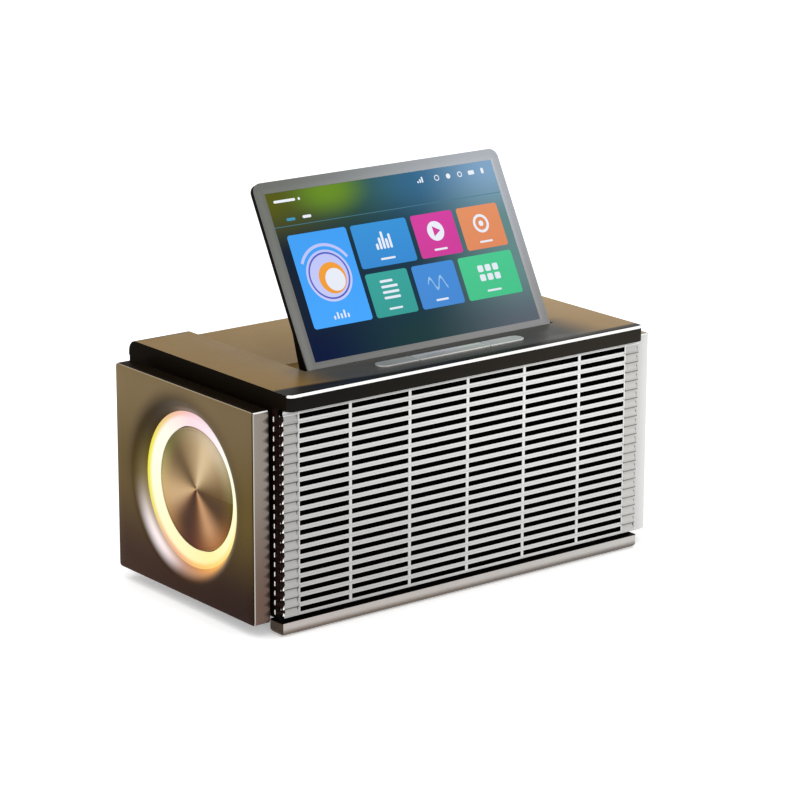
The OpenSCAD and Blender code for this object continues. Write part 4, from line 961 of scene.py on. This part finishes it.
def side_panel(s, nm):
    b = Build()
    X, XI = 193.0, 178.6
    base = panel_border(0, 0)
    rings, band = [], []
    ey, ez = 1.2, 0.9

    def ring(inset, x):
        out = []
        for y, z, ny, nz in base:
            e = ey * ny * ny + ez * nz * nz
            out.append((s * (X - e * x), y - ny * e * inset, z - nz * e * inset))
        return out
    rings.append([(s * XI, y - 0.4 * ny, z - 0.4 * nz) for y, z, ny, nz in base])
    rings.append([(s * (XI + 0.4), y, z) for y, z, ny, nz in base])
    rings.append([(s * (X - 4.0), y, z) for y, z, ny, nz in base])
    for i in range(7):
        t = math.radians(90.0 * i / 6)
        rings.append(ring(1 - math.cos(t), 1 - math.sin(t)))
    angs = [math.atan2(z - AZ, y - AY) for y, z, _, _ in base]

    def circle(r, x):
        return [(s * x, AY + r * math.cos(a), AZ + r * math.sin(a)) for a in angs]
    # from the flat of the face to the dish
    flat = ring(1.0, 0.0)
    for f in (0.35, 0.7):
        c = circle(73.5, X)
        rings.append([tuple(p[i] + (q[i] - p[i]) * f for i in range(3)) for p, q in zip(flat, c)])
    rings.append(circle(73.5, X))
    for i in range(15):
        u = i / 14.0
        r = 71.4 - (71.4 - 60.55) * u
        rings.append(circle(r, X - 7.9 * u ** 1.75))
    rings.append(circle(60.52, X - 8.6))
    rings.append(circle(60.52, XI))
    # fine rows round the dish keep its shading smooth, the back is a flat annulus
    b.loft(rings, closed=True, mat=0, loop=True)
    b.bm.faces.ensure_lookup_table()
    # painted light: the top face and the front edge's roundings get the painted reflection, highlight and shade
    # materials
    for f in b.bm.faces:
        c = f.calc_center_median() / MM
        y, z, x = c.y + SY, c.z, abs(c.x)
        if x > X - 0.02 or math.hypot(y - AY, z - AZ) < 74.0:
            continue
        if y < -81.6:
            if z > 171.6:
                f.material_index = 3 if x < X - 1.0 else 4
            elif x < X - 1.25:
                f.material_index = 1
            else:
                f.material_index = (4 if x > X - 0.42 else 6) if s < 0 else 3
        elif z > 172.05:
            f.material_index = 5 if x > X - 0.4 or s > 0 else 2
    edge = MATS["panel_edge_" + nm]
    b.done("side_panel_skin_" + nm, [MATS["panel"], edge, MATS["panel_top"], MATS["panel_white"], MATS["panel_dark"], MATS["panel_line"],
                                          MATS["panel_corner"]],
           replaces=["side_panel_" + nm], smooth=28.0)
    # painted dark reflection: small pockets down the inner border of the front edge, one for each slat
    if s > 0:
        return
    b = Build()
    for k in range(N_OPEN):
        zc = OPEN_TOP - k * PITCH - 3.7
        up_ = [(178.7 + 1.3 * i / 10.0, 1.2 * (1 - (i / 10.0) ** 2.2)) for i in range(11)]
        loop_ = up_ + [(x, -h) for x, h in reversed(up_[:-1])]
        b.loft([[(s * x, -82.9 + d, zc + h) for x, h in loop_] for d in (0.3, -0.03)], cap0=True, cap1=True)
    b.done("edge_pockets_" + nm, [MATS["notch"]])


def light_ring(s, nm):
    b = Build()
    front = []
    for i in range(15):
        t = i / 14.0
        front.append((60.45 - 12.1 * t, 185.0 - 3.35 * t + 0.55 * math.sin(math.pi * t) ** 0.8))
    prof = [(60.45, 178.7), (60.45, 184.7)] + front + [(48.32, 181.2), (48.32, 179.3), (57.6, 181.6), (58.4, 178.7)]
    turn_about_x(b, prof, s)
    b.done("light_ring_lens_" + nm, [MATS["ring_" + nm]], replaces=["light_ring_" + nm])


def plate(s, nm):
    b = Build()
    xf = 181.7
    prof = [(0.01, xf - 0.5), (1.8, xf - 0.5), (2.1, xf - 0.42), (2.5, xf - 0.05), (2.8, xf)]
    for r in (8, 14, 20, 26, 32, 38, 42):
        prof.append((r, xf))
    prof += [(45.2, xf), (45.35, xf - 0.14), (45.65, xf - 0.14), (45.8, xf), (47.0, xf), (47.35, xf - 0.12), (47.55, xf - 0.4), (47.6, xf - 0.9),
             (47.6, 176.7), (24.0, 176.7), (24.0, 169.0), (0.01, 169.0)]
    turn_about_x(b, prof, s, n=192, loop=False)
    b.done("radiator_plate_" + nm, [MATS["disc_" + nm]], body="radiator_" + nm, replaces=["radiator_disc_" + nm], weld=2e-5)


# ---------------------------------------------------------------- keys

def key_cap(nm, x0, x1, rl, rr, scoop):
    b = Build()
    yc, d, zt = -70.95, 13.5, 186.6
    R = 6.7
    rs = (R if rr else 0.5, R if rl else 0.5, R if rl else 0.5, R if rr else 0.5)
    hw, cx = (x1 - x0) / 2, (x0 + x1) / 2

    def outline(q):
        return rrect(hw - q, d / 2 - q, tuple(max(r - q, 0.05) for r in rs), seg=10, cx=cx, cy=yc)
    rings, z0 = [], 181.4
    rings.append([(u, v, z0) for u, v in outline(0.05)])
    rings.append([(u, v, z0 + 0.05) for u, v in outline(0.0)])
    for i in range(5):
        t = math.radians(90 * i / 4)
        rings.append([(u, v, zt - 0.55 + 0.55 * math.sin(t)) for u, v in outline(0.55 * (1 - math.cos(t)))])
    for q in (1.2, 2.2, 3.4, 4.6, 5.6):
        k = min(1.0, (q - 0.55) / 3.5)
        rings.append([(u, v, zt - scoop * (k * k * (3 - 2 * k))) for u, v in outline(q)])
    b.loft(rings, cap0=True, cap1=True)
    for s in (-1, 1):
        slab(b, lambda q, s=s: rrect(10 - q, 1.0 - q, 0.2, seg=2, cx=cx, cy=yc + s * (d / 2 + 0.1)), 181.4, 182.2, 0.05, 0.05, xy, seg=1)
    b.done("key_cap_" + nm, [MATS["key"]], body="key_" + nm, replaces=["key_" + nm], smooth=50.0)


# ---------------------------------------------------------------- foot rails

def rail(nm, s):
    b = Build()
    yc = s * 85.0

    # section drawn in from the plan outline: (inset, height)
    prof = [(3.4 * (1 - math.sin(math.radians(90 * i / 8))), 0.6 + 3.4 * (1 - math.cos(math.radians(90 * i / 8)))) for i in range(9)]
    prof += [(0.0, 10.55), (0.1, 10.85), (0.4, 11.0)]

    def outline(q):
        return rrect(175.3 - q, 8.0 - q, max(1.5 - q * 0.3, 0.4), seg=6, cy=yc)
    rings = [[(u, v, z) for u, v in outline(q)] for q, z in prof]
    b.loft(rings, cap0=True, cap1=True)
    for f in b.bm.faces:
        c, n = f.calc_center_median() / MM, None
        if c.z > 10.5:
            f.material_index = 1
        elif c.x < -174.2:
            f.material_index = 2
        elif c.x > 174.2:
            f.material_index = 3
    for x in (-110, 110):
        slab(b, lambda q, x=x: rrect(9 - q, 7.4 - q, 1.0, seg=3, cx=x, cy=s * 72.9), 5.0, 11.0, 0.3, 0.3, xy, seg=2)
    b.done("foot_rail_" + nm, [MATS["rail"], MATS["rail_top"], MATS["rail_end_left"], MATS["rail_end_right"]], replaces=[nm + "_foot_rail"], smooth=40.0)


def pads():
    b = Build()
    for x in (-150, 150):
        for y in (-85, 85):
            def outline(q, x=x, y=y):
                return rrect(15 - q, 4.5 - q, max(4.4 - q, 0.1), seg=8, cx=x, cy=y)
            slab(b, outline, 0.0, 1.6, 0.4, 0.1, xy, seg=3)
            for i in range(-4, 5):
                prism = [(x + i * 2.4 - 0.4, y - 3.4, 0.02), (x + i * 2.4 + 0.4, y - 3.4, 0.02), (x + i * 2.4 + 0.4, y + 3.4, 0.02), (x + i * 2.4 - 0.4, y + 3.4, 0.02)]
                b.loft([[(px, py, 0.5) for px, py, _ in prism], prism], cap0=True, cap1=True)
    b.done("foot_pads_ribbed", [MATS["rubber"]], replaces=["foot_pads"])


# ---------------------------------------------------------------- screen

TILT = math.radians(28.35)
CT, ST = math.cos(TILT), math.sin(TILT)
HY, HZ = -46.93, 180.5


def lean(x, y, z):
    return (x, HY + CT * y + ST * z, HZ - ST * y + CT * z)


def unlean(p):
    y, z = p[1] - HY, p[2] - HZ
    return p[0], CT * y - ST * z, ST * y + CT * z


def screen_frame():
    b = Build()
    hw, z0, z1 = 118.5, 0.4, 150.3
    cz, hh = (z0 + z1) / 2, (z1 - z0) / 2
    wz0, wz1, wx = 8.1, 141.1, 109.7
    wc, wh = (wz0 + wz1) / 2, (wz1 - wz0) / 2

    def outer(q, y):
        return [lean(u, y, v) for u, v in rrect(hw - q, hh - q, (7.4 - q, 7.4 - q, 1.2, 1.2), seg=9, cy=cz)]

    def inner(q, y):
        return [lean(u, y, v) for u, v in rrect(wx + q, wh + q, 0.7 + q, seg=9, cy=wc)]
    rings = [outer(0.0, -3.3), outer(0.0, -4.15), outer(0.1, -4.35), outer(0.35, -4.5), inner(0.25, -4.5), inner(0.06, -4.44), inner(0.0, -4.3), inner(0.0, -3.3)]
    b.loft(rings, closed=True, loop=True)
    b.done("screen_frame", [MATS["bezel"]], body="screen", replaces=["screen_bezel"])


def picture():
    """The lit picture area and a plain menu of the builder's own: coloured tiles with simple shapes."""
    m = Mat("picture_ground")
    c = m.xyz(m.tc.outputs["UV"])
    u, v = c[0], c[1]
    top = m.mix(m.ranged(u, 0.0, 0.42, smooth=True), lin(92, 96, 18), lin(52, 92, 66))
    top = m.mix(m.ranged(u, 0.3, 0.68, smooth=True), top, lin(56, 112, 150))
    top = m.mix(m.ranged(u, 0.62, 1.0, smooth=True), top, lin(140, 178, 212))
    mid = m.mix(m.ranged(u, 0.0, 0.5, smooth=True), lin(16, 32, 52), lin(26, 58, 78))
    mid = m.mix(m.ranged(u, 0.5, 1.0, smooth=True), mid, lin(108, 146, 146))
    low = m.mix(m.ranged(u, 0.0, 0.5, smooth=True), lin(0, 18, 62), lin(30, 62, 64))
    low = m.mix(m.ranged(u, 0.45, 1.0, smooth=True), low, lin(98, 108, 120))
    col = m.mix(m.ranged(v, 0.0, 0.34, smooth=True), low, mid)
    col = m.mix(m.ranged(v, 0.62, 0.96, smooth=True), col, top)
    # an olive glow high on the left
    du = m.math("SUBTRACT", u, 0.26)
    dv = m.math("MULTIPLY", m.math("SUBTRACT", v, 0.97), 1.1)
    d = m.math("SQRT", m.math("ADD", m.math("MULTIPLY", du, du), m.math("MULTIPLY", dv, dv)))
    col = m.mix(m.ranged(d, 0.02, 0.21, 0.85, 0.0, smooth=True), col, lin(116, 158, 34))
    grid = m.ranged(m.noise(1400.0, 1.0), 0.3, 0.7, 0.985, 1.015)
    m.put("Base Color", lin(6, 7, 9))
    m.put("Emission Color", m.scaled(col, grid))
    m.put("Emission Strength", 0.86)
    m.put("Roughness", 0.12)
    m.put("Specular IOR Level", 0.04)

    def uvbox(co):
        x, _, z = unlean((co.x / MM, co.y / MM + SY, co.z / MM))
        return ((x + 109.7) / 219.4, (z - 8.1) / 133.0)
    b = Build()
    slab(b, lambda q: rrect(109.68 - q, 66.48 - q, 0.7, seg=3, cy=74.6), 3.35, 4.35, 0.02, 0.05, lambda u_, v_, h: lean(u_, -h, v_), seg=1)
    b.done("picture_area", [m], body="screen", replaces=["screen_glass"], uvbox=uvbox)

    # tiles and shapes, each a thin lit sheet on the picture area
    sheets = {}

    def sheet(mat, pts, level=0):
        sheets.setdefault(mat, []).append((pts, level))

    def tile(mat, x0, x1, z0, z1, r=2.2, level=0):
        sheet(mat, rrect((x1 - x0) / 2, (z1 - z0) / 2, r, seg=6, cx=(x0 + x1) / 2, cy=(z0 + z1) / 2), level)

    def disc(mat, x, z, r, level=1, n=40):
        sheet(mat, [(x + r * math.cos(2 * math.pi * i / n), z + r * math.sin(2 * math.pi * i / n)) for i in range(n)], level)

    rings_ = []

    def hoop(mat, x, z, r0, r1, level=1, a0=0.0, a1=360.0, n=48):
        rings_.append((mat, x, z, r0, r1, level, a0, a1, n))

    # large tile with a dial
    tile("sky", -101.5, -46.5, 32.5, 106.8, 2.4)
    disc("lilac", -74.0, 71.5, 20.5, 1, 64)
    hoop("violet", -74.0, 71.5, 17.2, 18.6, 2)
    disc("amber", -71.6, 69.4, 12.4, 2, 56)
    disc("pearl", -69.6, 67.8, 9.0, 3, 48)
    hoop("lilac", -74.0, 71.5, 23.2, 25.6, 1, 30.0, 150.0)
    for i, h in enumerate((3.0, 5.4, 4.0, 6.4, 3.4)):
        tile("pearl", -81.0 + 3.2 * i, -79.4 + 3.2 * i, 37.4, 37.4 + h, 0.7, 1)
    # upper row: one wide tile, two square ones
    tile("blue", -42.5, 11.0, 71.5, 106.5)
    tile("magenta", 15.6, 56.4, 71.5, 106.5)
    tile("orange", 61.0, 101.8, 71.5, 106.5)
    # lower row: two square tiles, one wide one
    tile("teal", -42.5, -2.4, 32.2, 67.2)
    tile("azure", 2.2, 43.4, 32.2, 67.2)
    tile("green", 48.0, 101.8, 32.2, 67.2)
    # plain shapes
    for i, h in enumerate((5.0, 9.5, 14.0, 8.0, 11.5)):
        tile("pearl", -23.6 + 3.3 * i, -21.4 + 3.3 * i, 84.6, 84.6 + h, 1.0, 1)
    disc("pearl", 36.0, 91.8, 8.0)
    sheet("magenta", [(33.6, 87.6), (40.6, 91.8), (33.6, 96.0)], 2)
    hoop("pearl", 81.4, 91.8, 5.4, 7.6)
    disc("pearl", 81.4, 91.8, 2.3, 1, 24)
    for i in range(4):
        tile("pearl", -30.4, -14.8 - (3.4 if i == 3 else 0.0), 45.6 + 4.4 * i, 47.6 + 4.4 * i, 0.8, 1)
    wave = [(13.8 + 0.6 * i, 52.4 + 4.6 * math.sin(i * 0.36)) for i in range(31)]
    sheet("frost", wave + [(x, z - 2.4) for x, z in reversed(wave)], 1)
    for i in range(3):
        for j in range(2):
            tile("pearl", 64.6 + 7.4 * i, 70.0 + 7.4 * i, 46.0 + 7.4 * j, 51.4 + 7.4 * j, 1.2, 1)
    for x, w, z in ((-15.8, 7.0, 77.0), (36.0, 6.4, 77.0), (81.4, 6.4, 77.0), (-22.4, 6.4, 37.8), (22.8, 6.0, 37.8), (74.9, 7.0, 37.8)):
        tile("pearl", x - w, x + w, z - 0.8, z + 0.8, 0.7, 1)
    # top border: a pill, a line and five small signs
    tile("pearl", -104.0, -84.0, 132.9, 135.0, 1.0, 1)
    tile("pearl", -81.6, -79.4, 132.9, 135.0, 1.0, 1)
    tile("cyan", -97.0, -89.0, 118.0, 120.2, 1.0, 1)
    tile("pearl", -82.0, -74.0, 118.4, 120.6, 1.0, 1)
    tile("line", -109.6, 109.6, 113.9, 114.4, 0.2, 0)
    for i, h in enumerate((1.6, 3.0, 4.6)):
        tile("pearl", 33.0 + 2.2 * i, 34.4 + 2.2 * i, 131.4, 131.4 + h, 0.5, 1)
    hoop("pearl", 52.5, 133.4, 1.7, 2.4)
    disc("pearl", 64.0, 133.4, 2.1, 1, 24)
    hoop("pearl", 75.5, 133.4, 1.5, 2.3)
    tile("pearl", 84.0, 90.0, 131.7, 135.1, 1.0, 1)
    tile("pearl", 97.0, 99.6, 131.2, 135.8, 1.1, 1)
    pal = {
        "sky": emissive("tile_sky", lin(40, 150, 236), lin(56, 164, 255)),
        "blue": emissive("tile_blue", lin(34, 150, 220), lin(26, 110, 192)),
        "magenta": emissive("tile_magenta", lin(214, 48, 160), lin(190, 30, 136)),
        "orange": emissive("tile_orange", lin(226, 146, 96), lin(218, 116, 70)),
        "teal": emissive("tile_teal", lin(40, 172, 160), lin(28, 146, 140)),
        "azure": emissive("tile_azure", lin(44, 140, 220), lin(58, 128, 206)),
        "green": emissive("tile_green", lin(70, 206, 150), lin(52, 188, 128)),
        "pearl": emissive("mark_pearl", lin(236, 240, 248), lin(222, 228, 242)),
        "frost": emissive("mark_frost", lin(150, 196, 232), lin(140, 186, 228)),
        "lilac": emissive("mark_lilac", lin(178, 184, 240), lin(202, 208, 250)),
        "violet": emissive("mark_violet", lin(84, 92, 196), lin(70, 78, 184)),
        "amber": emissive("mark_amber", lin(246, 166, 40), lin(232, 140, 24)),
        "cyan": emissive("mark_cyan", lin(40, 150, 190), lin(34, 136, 176)),
        "line": emissive("mark_line", lin(60, 118, 138), lin(52, 96, 120)),
    }
    for nm in pal:
        b = Build()
        n_faces = 0
        for pts, level in sheets.get(nm, ()):
            y1 = -4.37 - 0.025 * level
            zs = [p[1] for p in pts]
            b.loft([[lean(x, -4.34, z) for x, z in pts], [lean(x, y1, z) for x, z in pts]], cap0=True, cap1=True)
            n_faces += 1
        for mt, x, z, r0, r1, level, a0, a1, n in rings_:
            if mt != nm:
                continue
            y1 = -4.37 - 0.025 * level
            full = abs(a1 - a0) >= 359.9
            cols = []
            for i in range(n if full else n + 1):
                a = math.radians(a0 + (a1 - a0) * i / n)
                cols.append([lean(x + r * math.cos(a), y, z + r * math.sin(a)) for r, y in ((r0, -4.34), (r0, y1), (r1, y1), (r1, -4.34))])
            b.loft(cols, closed=True, loop=full, cap0=not full, cap1=not full)
            n_faces += 1
        if n_faces:
            b.done("menu_" + nm, [pal[nm]], body="screen", uvbox=uvbox, weld=0)
        else:
            b.bm.free()


def screen_shell():
    def outer(mid, e):
        x, y, z = unlean(mid)
        return e.calc_length() > 0.0004 and (abs(x) > 117.9 or z > 149.5) and y > -3.2
    copy_node("screen_rear_shell", "screen_back_shell", [MATS["shell"]], bevel=0.35, seg=2, pick=outer, angle=50.0)
    for node, name in (("volume_key", "volume_rocker_cap"), ("screen_power_key", "screen_power_cap")):
        copy_node(node, name, [MATS["shell"]], bevel=0.35, seg=2)


# ---------------------------------------------------------------- everything else keeps its own shape

def others():
    copy_node("cabinet_shell", "cabinet_tube", [MATS["body_dark"]], bevel=0.8, seg=2,
              pick=lambda mid, e: mid.z < 12 and (abs(mid.x) > 171 or abs(mid.y) > 80 or mid.y > 108))
    copy_node("rear_cover", "rear_cover_board", [MATS["body_dark"]], bevel=0.6, seg=2,
              pick=lambda mid, e: mid.y > 96.9 and (abs(mid.x) > 166 or mid.z < 17 or mid.z > 172))
    copy_node("jack_plate", "jack_plate_face", [MATS["plate"]], bevel=0.25, seg=2, pick=lambda mid, e: mid.y > 97.9)
    copy_node("power_plate", "power_plate_face", [MATS["plate"]], bevel=0.25, seg=2, pick=lambda mid, e: mid.y > 97.9)
    copy_node("microphone_sockets", "microphone_socket_rings", [MATS["jack_metal"]], bevel=0.25, seg=2,
              pick=lambda mid, e: mid.y > 99.0)
    copy_node("aux_socket", "aux_socket_ring", [MATS["socket_black"]], bevel=0.2, seg=2, pick=lambda mid, e: mid.y > 98.5)
    copy_node("usb_socket", "usb_socket_case", [MATS["jack_metal"]], bevel=0.15, seg=2, pick=lambda mid, e: mid.y > 98.0)
    copy_node("power_inlet", "power_inlet_housing", [MATS["socket_black"]], bevel=0.4, seg=2, pick=lambda mid, e: mid.y > 99.0)
    copy_node("rocker_frame", "rocker_frame_housing", [MATS["socket_black"]], bevel=0.3, seg=2, pick=lambda mid, e: mid.y > 98.9)
    copy_node("power_rocker", "rocker_paddle", [MATS["rocker"]], bevel=0.3, seg=2, pick=lambda mid, e: mid.y > 95.0)
    plain = {
        "front_baffle": "baffle", "acoustic_cloth": "cloth", "panel_spacers": "baffle",
        "led_board_left": "pcb_white", "led_board_right": "pcb_white", "radiator_frame_left": "frame_black", "radiator_frame_right": "frame_black",
        "radiator_surround_left": "rubber", "radiator_surround_right": "rubber", "woofer_basket_left": "basket", "woofer_basket_right": "basket",
        "woofer_magnet_left": "magnet", "woofer_magnet_right": "magnet", "woofer_cone_left": "cone", "woofer_cone_right": "cone",
        "woofer_surround_left": "rubber", "woofer_surround_right": "rubber", "tweeter_left": "dome", "tweeter_right": "dome", "key_board": "pcb",
        "hinge_brackets": "steel", "hinge_pins": "steel", "hinge_sleeves": "steel", "display_panel": "display", "screen_board": "pcb",
        "main_board": "pcb", "heat_sink": "heatsink", "power_supply": "psu", "battery_pack": "battery", "internal_wiring": "wire",
        "housing_screws": "screw",
    }
    for node, mat in plain.items():
        me = NODES[node].data
        me.materials.clear()
        me.materials.append(MATS[mat].m)


top_cover()
fascia()
grille()
for s_, nm_ in ((-1, "left"), (1, "right")):
    side_panel(s_, nm_)
    light_ring(s_, nm_)
    plate(s_, nm_)
key_cap("left", -70.7, -34.85, True, False, 0.0)
key_cap("center", -33.95, 33.95, False, False, 0.45)
key_cap("right", 34.85, 70.7, False, True, 0.0)
rail("front", -1)
rail("rear", 1)
pads()
screen_frame()
picture()
screen_shell()
others()


# ---------------------------------------------------------------- stage and lights

def floor():
    m = Mat("studio_floor")
    m.put("Base Color", m.scaled((0.95, 0.95, 0.95, 1.0), m.ranged(m.noise(1.5, 2.0), 0.3, 0.7, 0.995, 1.005)))
    m.put("Roughness", m.ranged(m.noise(4.0, 2.0), 0.3, 0.7, 0.85, 0.95))
    m.put("Specular IOR Level", 0.05)
    m.put("Emission Color", (1.0, 1.0, 1.0, 1.0))
    m.put("Emission Strength", 0.34)
    bm = bmesh.new()
    n = 12
    vs = [[bm.verts.new((-9.0 + 18.0 * i / n, -9.0 + 18.0 * j / n, 0.0)) for i in range(n + 1)] for j in range(n + 1)]
    for j in range(n):
        for i in range(n):
            bm.faces.new((vs[j][i], vs[j][i + 1], vs[j + 1][i + 1], vs[j + 1][i]))
    me = bpy.data.meshes.new("studio_floor")
    bm.to_mesh(me)
    bm.free()
    me.materials.append(m.m)
    ob = bpy.data.objects.new("studio_floor", me)
    bpy.context.scene.collection.objects.link(ob)


def area(name, loc, target, sx, sy, power, col=(1, 1, 1)):
    d = bpy.data.lights.new(name, "AREA")
    d.shape = "RECTANGLE"
    d.size, d.size_y = sx, sy
    d.energy = power
    d.color = col
    o = bpy.data.objects.new(name, d)
    bpy.context.scene.collection.objects.link(o)
    o.location = loc
    o.rotation_mode = "QUATERNION"
    o.rotation_quaternion = (Vector(target) - Vector(loc)).to_track_quat("-Z", "Y")
    return o


world = bpy.data.worlds.new("studio")
bpy.context.scene.world = world
world.use_nodes = True
bg = world.node_tree.nodes["Background"]
bg.inputs[0].default_value = (1.0, 1.0, 1.0, 1.0)
bg.inputs[1].default_value = 0.9
floor()
area("key_front", (0.9, -2.4, 1.5), (0.0, 0.0, 0.1), 1.6, 1.2, 6.0)
area("top_soft", (-0.3, 0.4, 2.2), (0.0, 0.0, 0.1), 2.4, 2.4, 16.0)
